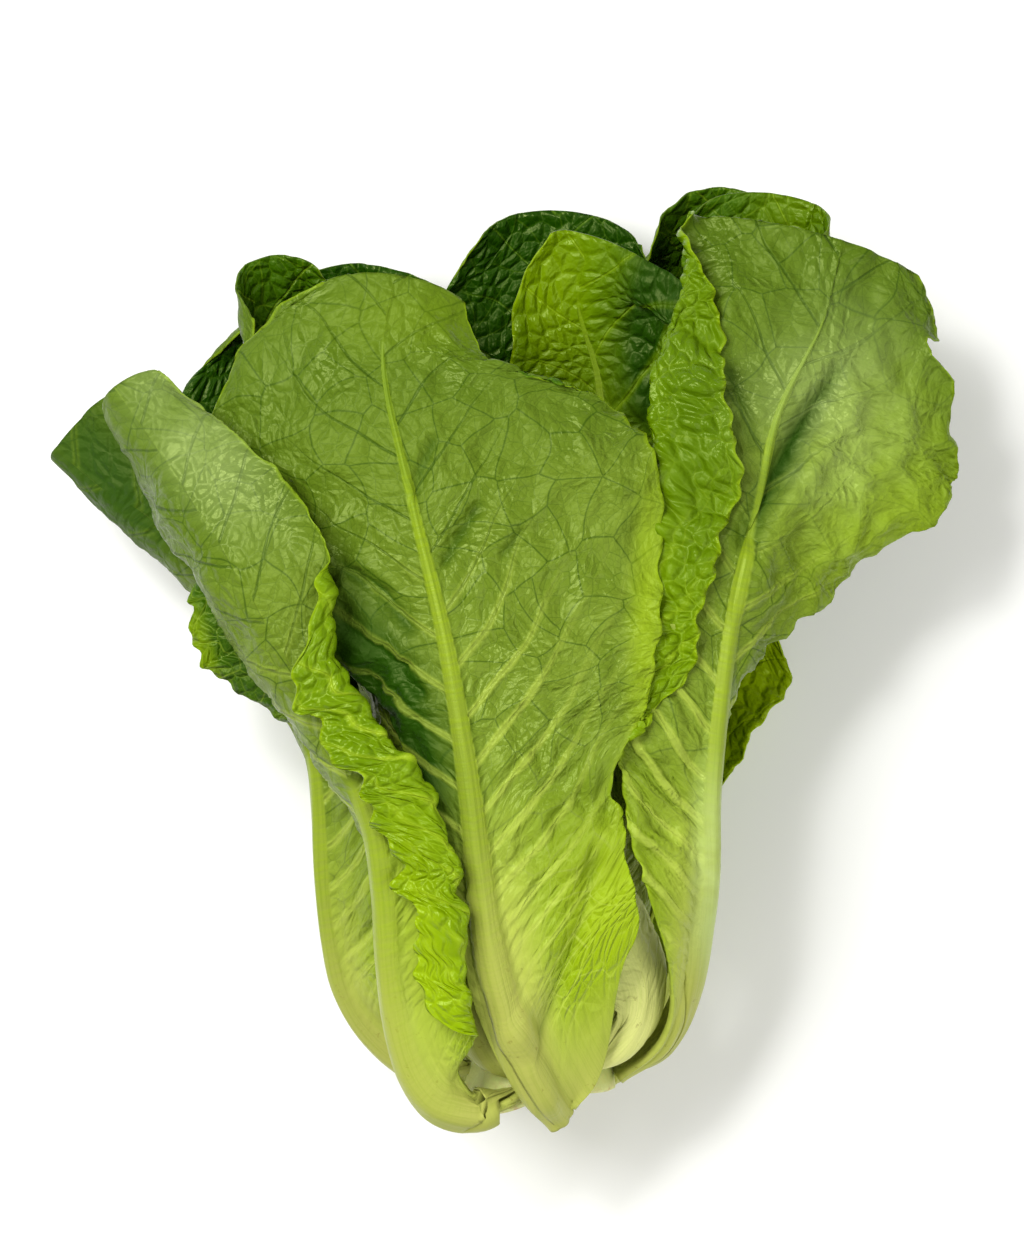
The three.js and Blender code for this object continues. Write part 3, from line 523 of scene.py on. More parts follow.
class Ripple:
    """An even, seeded unevenness over a surface, about -1 to 1."""

    def __init__(self, seed: int, length: float, terms: int = 9) -> None:
        """Draws the waves.

        Args:
            seed: What the draw starts from.
            length: The waves' length, in the units of the surface.
            terms: How many waves are added.
        """
        draw = np.random.default_rng(seed)
        angle = draw.uniform(0.0, 2.0 * math.pi, terms)
        size = 2.0 * math.pi / (length * draw.uniform(0.65, 1.6, terms))
        self.turn = np.stack([np.cos(angle) * size, np.sin(angle) * size])
        self.phase = draw.uniform(0.0, 2.0 * math.pi, terms)

    def at(self, x: Array, y: Any = 0.0) -> Array:
        """The unevenness at places.

        Args:
            x: Their first coordinates.
            y: Their second coordinates.

        Returns:
            A number for each place.
        """
        x, y = np.broadcast_arrays(np.asarray(x, float), np.asarray(y, float))
        waves = x[..., None] * self.turn[0] + y[..., None] * self.turn[1] + self.phase
        return np.sin(waves).sum(-1) / math.sqrt(len(self.phase) / 2.0) / 1.6


def stem_radius(y: Any) -> Array:
    """The stem's radius at height y."""
    t = np.clip((np.asarray(y, float) - STEM_BUTT) / (STEM_TOP - STEM_BUTT), 0.0, 1.0)
    return mix(STEM_RADIUS, STEM_TIP, t * t)


# ---- the surface of one leaf --------------------------------------------------------------


@dataclass
class Half:
    """One side of a leaf at shares of its length: how wide it is, and how it turns.

    line is how far out its margin creases, and over the width beyond that; cup is how far the
    blade turns inwards and turn how far the margin rolls back, in radians; rib is how far out
    the rib's columns end, and rolls says whether the margin is rolled at all.
    """

    width: Array
    line: Array
    over: Array
    cup: Array
    turn: float
    rib: Array
    rolls: bool

    def turn_at(self, x: Array) -> Array:
        """How far the blade has turned inwards.

        Args:
            x: Distances from the midrib, in millimetres.

        Returns:
            Angles, in radians.
        """
        line, cup = self.line, self.cup
        if x.ndim > line.ndim:
            line, cup = line[..., None], cup[..., None]
        inwards = cup * (np.minimum(x, line) / line) ** BOW
        return inwards - self.turn * np.clip((x - line) / FOLD_ARC, 0.0, 1.0)


@dataclass
class Spread:
    """The points of a leaf's middle surface, with what is known of each.

    aside is its distance from the midrib and share its share of the way out to the margin, both
    negative on the left; rolled and arc say whether it lies past a rolled margin's turn or in it.
    """

    points: Array
    aside: Array
    share: Array
    rolled: Array
    arc: Array


class Blade:
    """The middle surface of a leaf as it is laid out, before the leaves are settled."""

    LOBES, TEETH, CURLS = 26.0, 7.5, 19.0  # how long the small waves of a margin are
    FULL = 30.0  # half-width of blade from which a margin waves fully
    STEPS, FINE_STEPS = 32, 72  # how many parts the turn across a half is added up in
    WRAPPED = 0.1  # share of the length over which the base stops wrapping round the stem
    ROOM = 0.4  # room between the stem and a leaf's base
    NEXT = 0.004  # how far to either side a direction is read, as a share of the length

    def __init__(self, leaf: Leaf, fine: bool = False) -> None:
        """Runs the midrib's curve.

        Args:
            leaf: The leaf to lay out.
            fine: Whether its margins get their small waves.
        """
        self.leaf = leaf
        self.fine = fine
        angle, height = leaf.root
        radius = float(stem_radius(height)) + self.ROOM + (BLADE + BASE_EXTRA) / 2.0
        turned = math.radians(angle)
        root = (STEM_X + radius * math.sin(turned), height, STEM_Z + radius * math.cos(turned))
        self.bends = np.array([root, *leaf.midrib], float)
        steps = np.linalg.norm(np.diff(self.bends, axis=0), axis=1)
        self.length = float(steps.sum())
        self.shares = np.concatenate([[0.0], np.cumsum(steps)]) / self.length
        seed = int(leaf.rank * 10)
        self.lobes = Ripple(seed + 1, self.LOBES)
        self.teeth = Ripple(seed + 2, self.TEETH, 5)
        self.curls = Ripple(seed + 3, self.CURLS)

    def place(self, t: Array) -> Array:
        """Points of the midrib at shares t of its length."""
        return np.stack([through(self.shares, self.bends[:, k], t) for k in range(3)], -1)

    def forward(self, t: Array) -> Array:
        """Directions of the midrib at shares t of its length."""
        after, before = np.minimum(1.0, t + self.NEXT), np.maximum(0.0, t - self.NEXT)
        return unit(self.place(after) - self.place(before))

    def rib_width(self, t: Array) -> Array:
        """Half-widths of the rib at shares t."""
        taper = 0.14 + 0.86 * (1.0 - t) ** 1.3
        return self.leaf.rib[0] * taper * mix(0.6, 1.0, smooth(0.0, 0.12, t))

    def rib_height(self, t: Array) -> Array:
        """Heights of the rib at shares t."""
        taper = 0.1 + 0.9 * (1.0 - t) ** 1.5
        return self.leaf.rib[1] * taper * mix(0.3, 1.0, smooth(0.0, 0.06, t))

    def half(self, edge: Edge, t: Array) -> Half:
        """One side of the leaf at shares t.

        Args:
            edge: Which side.
            t: Shares of the leaf's length.

        Returns:
            Its widths and turns, each in the shape of t.
        """
        leaf = self.leaf
        left = edge is Edge.LEFT
        width = along(leaf.left if left else leaf.right, t)
        rolls = leaf.fold is not None and leaf.fold.edge is edge
        line = width
        if rolls:
            crease = along(leaf.fold.line, t)
            if self.fine:
                scallops = self.teeth.at(t * self.length + 40.0) * smooth(0.12, 0.3, t)
                crease = crease + leaf.scallop * scallops
            line = np.minimum(crease, width)
        cup = np.radians(along(leaf.cup_left if left else leaf.cup_right, t))
        rib = np.minimum(self.rib_width(t) * RIB_SPREAD, width * 0.5)
        turn = math.radians(leaf.fold.turn) if rolls else 0.0
        return Half(width, line, width - line, cup, turn, rib, rolls)

    def reach(self, edge: Edge, u: Array, s: Half) -> Array:
        """How far out along the blade a column lies.

        Args:
            edge: Which side.
            u: Shares of the columns on that side, 0 at the midrib.
            s: That side's widths.

        Returns:
            Distances from the midrib, in millimetres.
        """
        rib_share = 2.0 / self.leaf.columns[0 if edge is Edge.LEFT else 1]
        flat = mix(s.rib, s.width, (u - rib_share) / (1.0 - rib_share))
        if s.rolls:
            marks = np.array([2 / 9, 4 / 9, 7 / 9, 1.0])
            arc = s.line + np.minimum(FOLD_ARC, s.over * 0.9)
            ends = np.stack(np.broadcast_arrays(s.rib, s.line, arc, s.width), 0)
            i = np.searchsorted(marks[1:3], np.broadcast_to(u, flat.shape)[0], side="left")
            lows = np.moveaxis(ends[i, :, 0], 0, 1)
            highs = np.moveaxis(ends[i + 1, :, 0], 0, 1)
            folded = mix(lows, highs, (u - marks[i]) / (marks[i + 1] - marks[i]))
            flat = mix(flat, folded, smooth(1.0, FOLD_ARC, s.over))
        return np.where(u <= rib_share, s.rib * u / rib_share, flat)

    def frayed(self, edge: Edge, t: Array, a: Array, s: Half) -> Array:
        """Gives a half's columns the lobes, the teeth and the notch of its margin.

        Args:
            edge: Which side.
            t: Shares of the length, one for each row.
            a: Even distances from the midrib, in millimetres.
            s: That side's widths.

        Returns:
            The uneven distances.
        """
        leaf, side, share = self.leaf, edge.value, a / s.width
        uneven = self.lobes.at(t * self.length, side * 9.0) * 1.5
        uneven = uneven + self.teeth.at(t * self.length, side * 5.0) * 0.8
        if edge is Edge.RIGHT:
            a = a * mix(leaf.tuck, 1.0, smooth(0.03, 0.13, t))
        full = np.minimum(1.0, s.width / self.FULL)
        a = a + leaf.frill * uneven * share**3 * full * smooth(0.2, 0.4, t)
        if leaf.tear and edge is Edge.RIGHT:
            middle, half_mouth, deep = leaf.tear
            notch = np.clip(1.6 - 1.6 * np.abs(t - middle) / half_mouth, 0.0, 1.0)
            a = a - deep * share**3 * notch
        return a

    def wave(self, edge: Edge, t: Array, share: Array, s: Half) -> Array:
        """How far the blade waves to its back and its face.

        Args:
            edge: Which side.
            t: Shares of the length, one for each row.
            share: Shares of the way out to the margin.
            s: That side's widths.

        Returns:
            Heights, in millimetres.
        """
        leaf, side = self.leaf, edge.value
        swell = share**2 * smooth(0.15, 0.4, t) * np.minimum(1.0, s.width / self.FULL)
        phase = leaf.rank * 1.7 + (2.1 if edge is Edge.LEFT else 0.0)
        wave = leaf.wave[0] * swell * np.sin(2.0 * math.pi * leaf.wave[1] * t + phase)
        if self.fine:
            curl = self.curls.at(t * self.length, side * 31.0) * smooth(0.55, 1.0, share)
            teeth = self.teeth.at(t * self.length, side * 17.0) * 0.3
            curl = curl + teeth * smooth(0.8, 1.0, share)
            wave = wave + leaf.frill * curl * smooth(0.15, 0.35, t)
        return wave

    def steadied(self, t: Array) -> Array:
        """Directions of the midrib, averaged along a leaf that is steadied.

        Args:
            t: Shares of the length.

        Returns:
            The directions.
        """
        if not (self.fine and self.leaf.steady):
            return self.forward(t)
        places = [t + d * self.leaf.steady for d in (-1.0, -0.5, 0.0, 0.5, 1.0)]
        return unit(np.sum([self.forward(np.clip(p, 0.0, 1.0)) for p in places], 0))

    @staticmethod
    def wrap(place: Array, right: Array, aside: Array, rise: Array) -> Array:
        """Lays points round the stem.

        Args:
            place: The midrib's point in each row.
            right: The leaf's own right in each row.
            aside: How far each point is from the midrib, negative on the left.
            rise: How far each point lies above its place on the midrib.

        Returns:
            The points.
        """
        dx, dz = place[..., 0] - STEM_X, place[..., 2] - STEM_Z
        radius = np.hypot(dx, dz)
        sense = np.where(right[..., 0] * dz - right[..., 2] * dx >= 0.0, 1.0, -1.0)
        swing = np.arctan2(dx, dz) + sense * aside / radius
        x, z = STEM_X + radius * np.sin(swing), STEM_Z + radius * np.cos(swing)
        return np.stack([x, place[..., 1] + rise, z], -1)

    def spread(self, edge: Edge, t: Array, u: Array) -> Spread:
        """Lays out one side of the leaf.

        Args:
            edge: Which side.
            t: Shares of the length, one for each row.
            u: Shares of that side's columns, one for each column.

        Returns:
            The side's points, in millimetres.
        """
        leaf, side, t = self.leaf, edge.value, t[:, None]
        s = self.half(edge, t)
        a = self.reach(edge, u[None, :], s)
        share = a / s.width
        if self.fine:
            a = self.frayed(edge, t, a, s)
        place, forward = self.place(t), self.steadied(t)
        look = np.radians(along(leaf.facing, t))
        towards = np.stack([np.sin(look), np.zeros_like(look), np.cos(look)], -1)
        out = unit(towards - forward * dot(towards, forward)[..., None])
        right = np.cross(forward, out)
        steps = self.FINE_STEPS if self.fine else self.STEPS
        angles = s.turn_at(a[..., None] * ((np.arange(steps) + 0.5) / steps))
        across = np.cos(angles).sum(-1) * a / steps
        depth = -np.sin(angles).sum(-1) * a / steps
        sweep = a * mix(0.4, 0.1, smooth(0.0, 0.5, t)) * (1.0 - smooth(0.7, 1.0, t))
        bent = np.minimum(1.0, a / s.line) * 0.98
        drop = s.line * leaf.blunt * smooth(0.62, 1.0, t) * (1.0 - np.sqrt(1.0 - bent**2))
        wave, angle = self.wave(edge, t, share, s), s.turn_at(a)
        sideways = side * (across + np.sin(angle) * wave)
        points = place + right * sideways[..., None]
        points = points + out * (depth + np.cos(angle) * wave)[..., None]
        points = points + forward * (sweep - drop)[..., None]
        wrapped = self.wrap(place, right, side * a, sweep * 0.5)
        points = mix(points, wrapped, (1.0 - smooth(0.0, self.WRAPPED, t))[..., None])
        rolled = (s.over > FOLD_ARC / 2.0) & (a > s.line + FOLD_ARC / 2.0)
        arc = (s.over > 2.0) & (a > s.line + 0.1) & (a < s.line + FOLD_ARC - 0.1)
        return Spread(points, side * a, side * share, rolled, arc)

    def lay_out(self, t: Array, c: Array) -> Spread:
        """Lays out the whole leaf.

        Args:
            t: Shares of the length, one for each row.
            c: Columns, counted out from the midrib and negative on the left.

        Returns:
            Its points, in millimetres.
        """
        left, right = c[c < 0.0], c[c >= 0.0]
        one = self.spread(Edge.LEFT, t, -left / self.leaf.columns[0])
        two = self.spread(Edge.RIGHT, t, right / self.leaf.columns[1])
        joined = {
            key: np.concatenate([getattr(one, key), getattr(two, key)], 1)
            for key in ("points", "aside", "share", "rolled", "arc")
        }
        return Spread(**joined)

    def rib_at(self, t: Array, a: Array, power: float = 0.5) -> Array:
        """Heights of the rib on the leaf's back, at shares t and distances a from the midrib."""
        inside = np.maximum(0.0, 1.0 - (a / (self.rib_width(t) * RIB_SPREAD)) ** 2)
        return self.rib_height(t) * inside**power


# ---- settling the leaves ------------------------------------------------------------------


class Sheet:
    """A leaf's coarse grid while it is settled against the others."""

    OWN = 0.6  # share of its own push that a point moves by; the rest is its neighbours'
    EASE = 0.25  # share by which what has moved is evened out in each round
    ROOM, ROOT_ROOM = 1.6, 0.35  # room between the stem and a leaf, and its first row
    ABOVE = 3.0  # how far above the growing tip the stem is still kept clear of
    BELOW = 2.0  # how far below a point the stem's radius is read

    def __init__(self, leaf: Leaf) -> None:
        """Lays the leaf out on its coarse grid.

        Args:
            leaf: The leaf.
        """
        self.leaf = leaf
        self.blade = Blade(leaf)
        t = np.arange(leaf.rows + 1) / leaf.rows
        c = np.arange(-leaf.columns[0], leaf.columns[1] + 1).astype(float)
        spread = self.blade.lay_out(t, c)
        self.aside = spread.aside
        self.start = spread.points
        self.now = spread.points.copy()
        self.rolled, self.arc = spread.rolled, spread.arc
        thick = BLADE + (1.0 - smooth(0.0, BASE_SHARE, t[:, None])) * BASE_EXTRA
        self.thick = np.broadcast_to(thick, self.rolled.shape)
        self.rib = self.blade.rib_at(t[:, None], np.abs(spread.aside))
        rows, columns = self.rolled.shape
        around = np.full((rows, columns), 4.0)
        around[[0, -1], :] -= 1.0
        around[:, [0, -1]] -= 1.0
        self.around = around[..., None]

    def ready(self) -> None:
        """Clears the pushes and reads the normals and the box for the next round."""
        self.normals = normals_of(self.now)
        self.push = np.zeros_like(self.now)
        self.count = np.zeros(self.rolled.shape)
        self.low = self.now.reshape(-1, 3).min(0)
        self.high = self.now.reshape(-1, 3).max(0)

    def meets(self, other: "Sheet", room: float) -> bool:
        """Whether this leaf's box comes within some room of another's."""
        near = (self.low - room < other.high) & (other.low - room < self.high)
        return bool(near.all())

    def neighbours(self, values: Array) -> Array:
        """Evens out values over the grid.

        Args:
            values: A vector at each point.

        Returns:
            The mean of each point's neighbours.
        """
        total = np.zeros_like(values)
        total[1:] += values[:-1]
        total[:-1] += values[1:]
        total[:, 1:] += values[:, :-1]
        total[:, :-1] += values[:, 1:]
        return total / self.around

    def move(self) -> None:
        """Moves the leaf by its pushes, and eases what has moved so that it keeps its form."""
        mean = self.push / np.maximum(self.count, 1.0)[..., None]
        root = smooth(0.0, 2.0, np.arange(len(mean)))[:, None, None]
        self.now = self.now + root * (self.OWN * mean + (1.0 - self.OWN) * self.neighbours(mean))
        moved = self.now - self.start
        self.now = self.start + mix(moved, self.neighbours(moved), self.EASE)

    def clear_stem(self) -> None:
        """Keeps the leaf clear of the stem."""
        p = self.now
        dx, dz = p[..., 0] - STEM_X, p[..., 2] - STEM_Z
        radius = np.hypot(dx, dz)
        room = np.full(self.rolled.shape, self.ROOM)
        room[0] = self.ROOT_ROOM
        least = stem_radius(p[..., 1] - self.BELOW) + self.thick / 2.0 + room
        close = (radius < least) & (p[..., 1] <= STEM_TOP + STEM_TIP + self.ABOVE)
        scale = np.where(close, least / np.maximum(radius, 1e-9), 1.0)
        p[..., 0] = STEM_X + dx * scale
        p[..., 2] = STEM_Z + dz * scale

    def clear_floor(self) -> None:
        """Keeps the leaf above the surface, but for what is pressed flat."""
        down = np.maximum(0.0, -self.normals[..., 2])
        pressed = np.minimum(PRESSED, self.thick * 0.25 + self.rib)
        least = self.thick / 2.0 + self.rib * down - pressed * down
        self.now[..., 2] = np.maximum(self.now[..., 2], least)


class Settling:
    """Moves the leaves apart until each lies outside those it should, and above the surface."""

    ROUNDS = 60
    NEAR = 12.0  # room between the boxes of two leaves under which they are read
    REACH = 14.0  # how far away a leaf's point is looked for
    BESIDE, EVENLY = 8.5, 4.0  # how far aside a point may lie to be pushed, and pushed fully
    DEEPEST, DEEPEST_HEART = 9.0, 6.0  # how deep a point may have sunk in to be pushed out again
    ROLLED_SHARE = 0.8  # share of a push that a margin takes when it lies on its own leaf
    ALIKE = -0.3  # least cosine between the backs of two leaves that look the same way

    def __init__(self, leaves: Sequence[Leaf]) -> None:
        """Lays out every leaf."""
        self.sheets = [Sheet(leaf) for leaf in leaves]

    def run(self) -> dict[str, Sheet]:
        """Settles the leaves.

        Returns:
            Each leaf's sheet, by the leaf's name.
        """
        for _ in range(self.ROUNDS):
            for sheet in self.sheets:
                sheet.ready()
            for p in self.sheets:
                for q in self.sheets:
                    if (p is not q or p.leaf.fold) and p.meets(q, self.NEAR):
                        self.separate(p, q)
            for sheet in self.sheets:
                sheet.move()
                sheet.clear_stem()
                sheet.clear_floor()
        return {sheet.leaf.name: sheet for sheet in self.sheets}

    def separate(self, p: Sheet, q: Sheet) -> None:
        """Pushes p's points, and the points of q nearest to them, apart where they are too close.

        Args:
            p: The leaf whose points are read.
            q: The leaf that they are read against, which may be p itself.
        """
        alone = p is q
        hearts = p.leaf.layer is Layer.HEART and q.leaf.layer is Layer.HEART
        deepest = self.DEEPEST_HEART if hearts else self.DEEPEST
        share = (1.0 - p.leaf.hold) / (2.0 - p.leaf.hold - q.leaf.hold)
        if alone:
            share = self.ROLLED_SHARE
        mine = np.flatnonzero(p.rolled & ~p.arc) if alone else np.arange(p.rolled.size)
        theirs = np.flatnonzero(~q.arc & ~(q.rolled & alone))
        if not len(mine) or not len(theirs):
            return
        here, there = p.now.reshape(-1, 3)[mine], q.now.reshape(-1, 3)[theirs]
        near = ((here > q.low - self.REACH) & (here < q.high + self.REACH)).all(1)
        mine, here = mine[near], here[near]
        if not len(mine):
            return
        gaps = (here**2).sum(1)[:, None] - 2.0 * here @ there.T + (there**2).sum(1)[None, :]
        best = gaps.argmin(1)
        there, other = there[best], theirs[best]
        gap = ((here - there) ** 2).sum(1)
        normal = q.normals.reshape(-1, 3)[other]
        p_rolled, q_rolled = p.rolled.ravel()[mine], q.rolled.ravel()[other]
        # A rolled margin has its face outwards, so it is read the other way round.
        flip = np.where(p_rolled != q_rolled, -1.0, 1.0)
        alike = dot(p.normals.reshape(-1, 3)[mine], normal) * flip > self.ALIKE
        outside = np.where(alone | (alike & (p.leaf.rank > q.leaf.rank)), 1.0, -1.0)
        side = np.where(q_rolled, -outside, outside)
        height = dot(here - there, normal)
        ribbed = alike & (outside < 0.0) & ~p_rolled
        own = p.thick.ravel()[mine] / 2.0 + np.where(ribbed, p.rib.ravel()[mine], 0.0)
        facing = q.thick.ravel()[other] / 2.0 + np.where(outside > 0.0, q.rib.ravel()[other], 0.0)
        lack = CLEAR + own + facing - side * height
        aside = np.sqrt(np.maximum(0.0, gap - height**2))
        pushes = (gap < self.REACH**2) & (aside <= self.BESIDE)
        pushes = pushes & (lack > 0.0) & (lack <= deepest + own + facing)
        move = lack * (1.0 - 0.5 * smooth(self.EVENLY, self.BESIDE, aside)) * side
        shift = (normal * move[:, None])[pushes]
        np.add.at(p.push.reshape(-1, 3), mine[pushes], shift * share)
        np.add.at(p.count.reshape(-1), mine[pushes], 1.0)
        np.add.at(q.push.reshape(-1, 3), other[pushes], -shift * (1.0 - share))
        np.add.at(q.count.reshape(-1), other[pushes], 1.0)


# ---- from numbers to meshes ---------------------------------------------------------------


def only(obj: bpy.types.Object) -> None:
    """Selects one object and makes it the active one.

    Args:
        obj: The object.
    """
    bpy.ops.object.select_all(action="DESELECT")
    obj.select_set(True)
    bpy.context.view_layer.objects.active = obj


def apply_modifier(obj: bpy.types.Object, modifier: bpy.types.Modifier) -> None:
    """Applies one modifier of an object."""
    only(obj)
    bpy.ops.object.modifier_apply(modifier=modifier.name)


def read_points(mesh: bpy.types.Mesh) -> Array:
    """Reads where a mesh's points are.

    Args:
        mesh: The mesh.

    Returns:
        Its points, in millimetres.
    """
    points = np.empty(len(mesh.vertices) * 3, np.float32)
    mesh.vertices.foreach_get("co", points)
    return points.reshape(-1, 3).astype(float) / MM


def write_points(mesh: bpy.types.Mesh, points: Array) -> None:
    """Sets the mesh's points, in millimetres."""
    mesh.vertices.foreach_set("co", (points * MM).astype(np.float32).ravel())
    mesh.update()


def add_numbers(mesh: bpy.types.Mesh, name: str, values: Array) -> None:
    """Adds an attribute of one number to each point of a mesh."""
    data = mesh.attributes.new(name, "FLOAT", "POINT").data
    data.foreach_set("value", values.astype(np.float32).ravel())


def add_vectors(mesh: bpy.types.Mesh, name: str, *columns: Array) -> None:
    """Adds an attribute of three numbers to each point of a mesh.

    Args:
        mesh: The mesh.
        name: The attribute's name.
        columns: The three numbers, each an array over the points.
    """
    values = np.stack(np.broadcast_arrays(*columns), -1).astype(np.float32)
    mesh.attributes.new(name, "FLOAT_VECTOR", "POINT").data.foreach_set("vector", values.ravel())


def distance_to(path: Sequence[Vector], x: Array, y: Array) -> tuple[Array, Array]:
    """How far points are from a path, seen from above.

    Args:
        path: The path's corners, in millimetres.
        x: The points' first coordinates.
        y: The points' second coordinates.

    Returns:
        The distances, and how far along the path the nearest place is, from 0 to 1.
    """
    best, where = np.full(x.shape, 1e9), np.zeros(x.shape)
    count = len(path) - 1
    for i, (a, b) in enumerate(zip(path, path[1:])):
        dx, dy = b[0] - a[0], b[1] - a[1]
        s = np.clip(((x - a[0]) * dx + (y - a[1]) * dy) / (dx * dx + dy * dy), 0.0, 1.0)
        gap = np.hypot(x - a[0] - dx * s, y - a[1] - dy * s)
        near = gap < best
        best = np.where(near, gap, best)
        where = np.where(near, (i + s) / count, where)
    return best, where


class NodeTree:
    """Adds nodes to a tree and joins them, in few words."""

    def __init__(self, tree: bpy.types.NodeTree) -> None:
        """Takes the tree to add to."""
        self.tree = tree

    def node(self, kind: str, inputs: Optional[dict[Any, Any]] = None, **settings: Any) -> Any:
        """Adds a node.

        Args:
            kind: The node's type.
            inputs: What goes into its sockets, by name or place: a value or another's socket.
            settings: Its other settings.

        Returns:
            The node.
        """
        node = self.tree.nodes.new(kind)
        for key, value in settings.items():
            setattr(node, key, value)
        for key, value in (inputs or {}).items():
            self.put(node.inputs[key], value)
        return node

    def put(self, socket: Socket, value: Any) -> None:
        """Sets a socket to a value, or joins it to another socket.

        Args:
            socket: The socket.
            value: The value, or the other socket.
        """
        if isinstance(value, bpy.types.NodeSocket):
            self.tree.links.new(value, socket)
        else:
            socket.default_value = value

    def math(self, operation: str, *values: Any) -> Socket:
        """A sum of numbers, by the name of its operation."""
        return self.node("ShaderNodeMath", dict(enumerate(values)), operation=operation).outputs[0]

    def times(self, *values: Any) -> Socket:
        """The product of two numbers or more."""
        return reduce(lambda a, b: self.math("MULTIPLY", a, b), values)

    def plus(self, *values: Any) -> Socket:
        """The sum of two numbers or more."""
        return reduce(lambda a, b: self.math("ADD", a, b), values)

    def parts(self, vector: Socket) -> Sequence[Socket]:
        """The three numbers of a vector."""
        return self.node("ShaderNodeSeparateXYZ", {0: vector}).outputs

    def ramp(
        self, value: Any, low: float, high: float, start: float = 0.0, end: float = 1.0
    ) -> Socket:
        """Eases a number from start at low to end at high.

        Args:
            value: The number.
            low: Where the ease begins.
            high: Where it ends.
            start: The result below low.
            end: The result above high.

        Returns:
            The result.
        """
        inputs = {"Value": value, "From Min": low, "From Max": high, "To Min": start, "To Max": end}
        node = self.node("ShaderNodeMapRange", inputs, interpolation_type="SMOOTHSTEP")
        return node.outputs["Result"]

    def fall(self, value: Any, low: float, high: float, start: float = 1.0) -> Socket:
        """Eases a number from start at low to nothing at high."""
        return self.ramp(value, low, high, start, 0.0)

    def noise(self, place: Socket, scale: float, detail: float, rough: float = 0.5) -> Socket:
        """A cloudy number from 0 to 1."""
        inputs = {"Vector": place, "Scale": scale, "Detail": detail, "Roughness": rough}
        return self.node("ShaderNodeTexNoise", inputs).outputs[0]

    def walls(self, place: Socket, scale: float) -> Socket:
        """How far a place is from the walls of a flat net of cells.

        Args:
            place: The place.
            scale: How many cells there are to a length of one.

        Returns:
            The distance, in cells.
        """
        settings = {"feature": "DISTANCE_TO_EDGE", "voronoi_dimensions": "2D"}
        inputs = {"Vector": place, "Scale": scale}
        return self.node("ShaderNodeTexVoronoi", inputs, **settings).outputs["Distance"]

    def blend(self, share: Any, a: Any, b: Any, how: str = "MIX") -> Socket:
        """Mixes two colours.

        Args:
            share: How much of the second there is, from 0 to 1.
            a: The first colour.
            b: The second colour.
            how: The way they mix.

        Returns:
            The mixed colour.
        """
        node = self.node("ShaderNodeMix", data_type="RGBA", blend_type=how)
        for socket, value in ((node.inputs[0], share), (node.inputs[6], a), (node.inputs[7], b)):
            self.put(socket, value)
        return node.outputs[2]

    def coats(self, colour: Any, *coats: tuple[Any, Any]) -> Socket:
        """Lays colours over a colour in turn, each given after its share."""
        return reduce(lambda under, coat: self.blend(coat[0], under, coat[1]), coats, colour)

    def tinted(self, share: Any, colour: Any, tint: Vector) -> Socket:
        """Multiplies a share of a colour by a tint."""
        return self.blend(share, colour, self.blend(1.0, colour, tint, "MULTIPLY"))


class BlisterRelief:
    """A Geometry Nodes tree that raises a net of small veins and lets the blade sag between."""

    NAME = "blister_relief"
    NETS = ((1.0, 0.36, 1.3), (2.9, 0.34, 0.6))  # scale, width of a vein's foot, height

    @classmethod
    def tree(cls) -> bpy.types.NodeTree:
        """The tree, made once.

        Returns:
            A tree that moves each point along its normal.
        """
        if cls.NAME in bpy.data.node_groups:
            return bpy.data.node_groups[cls.NAME]
        group = bpy.data.node_groups.new(cls.NAME, "GeometryNodeTree")
        for way in ("INPUT", "OUTPUT"):
            group.interface.new_socket("Geometry", in_out=way, socket_type="NodeSocketGeometry")
        t = NodeTree(group)
        start, end = t.node("NodeGroupInput"), t.node("NodeGroupOutput")
        named = "GeometryNodeInputNamedAttribute"
        net = t.node(named, {"Name": "net"}, data_type="FLOAT_VECTOR").outputs["Attribute"]
        depth = t.node(named, {"Name": "blister"}, data_type="FLOAT").outputs["Attribute"]
        heights = [
            t.ramp(t.walls(net, scale), 0.0, foot, height * 0.5, -height * 0.5)
            for scale, foot, height in cls.NETS
        ]
        scale = t.times(t.plus(*heights), depth, MM)
        normal = t.node("GeometryNodeInputNormal").outputs[0]
        offset = t.node("ShaderNodeVectorMath", {0: normal, "Scale": scale}, operation="SCALE")
        inputs = {"Geometry": start.outputs[0], "Offset": offset.outputs[0]}
        t.put(end.inputs[0], t.node("GeometryNodeSetPosition", inputs).outputs[0])
        return group


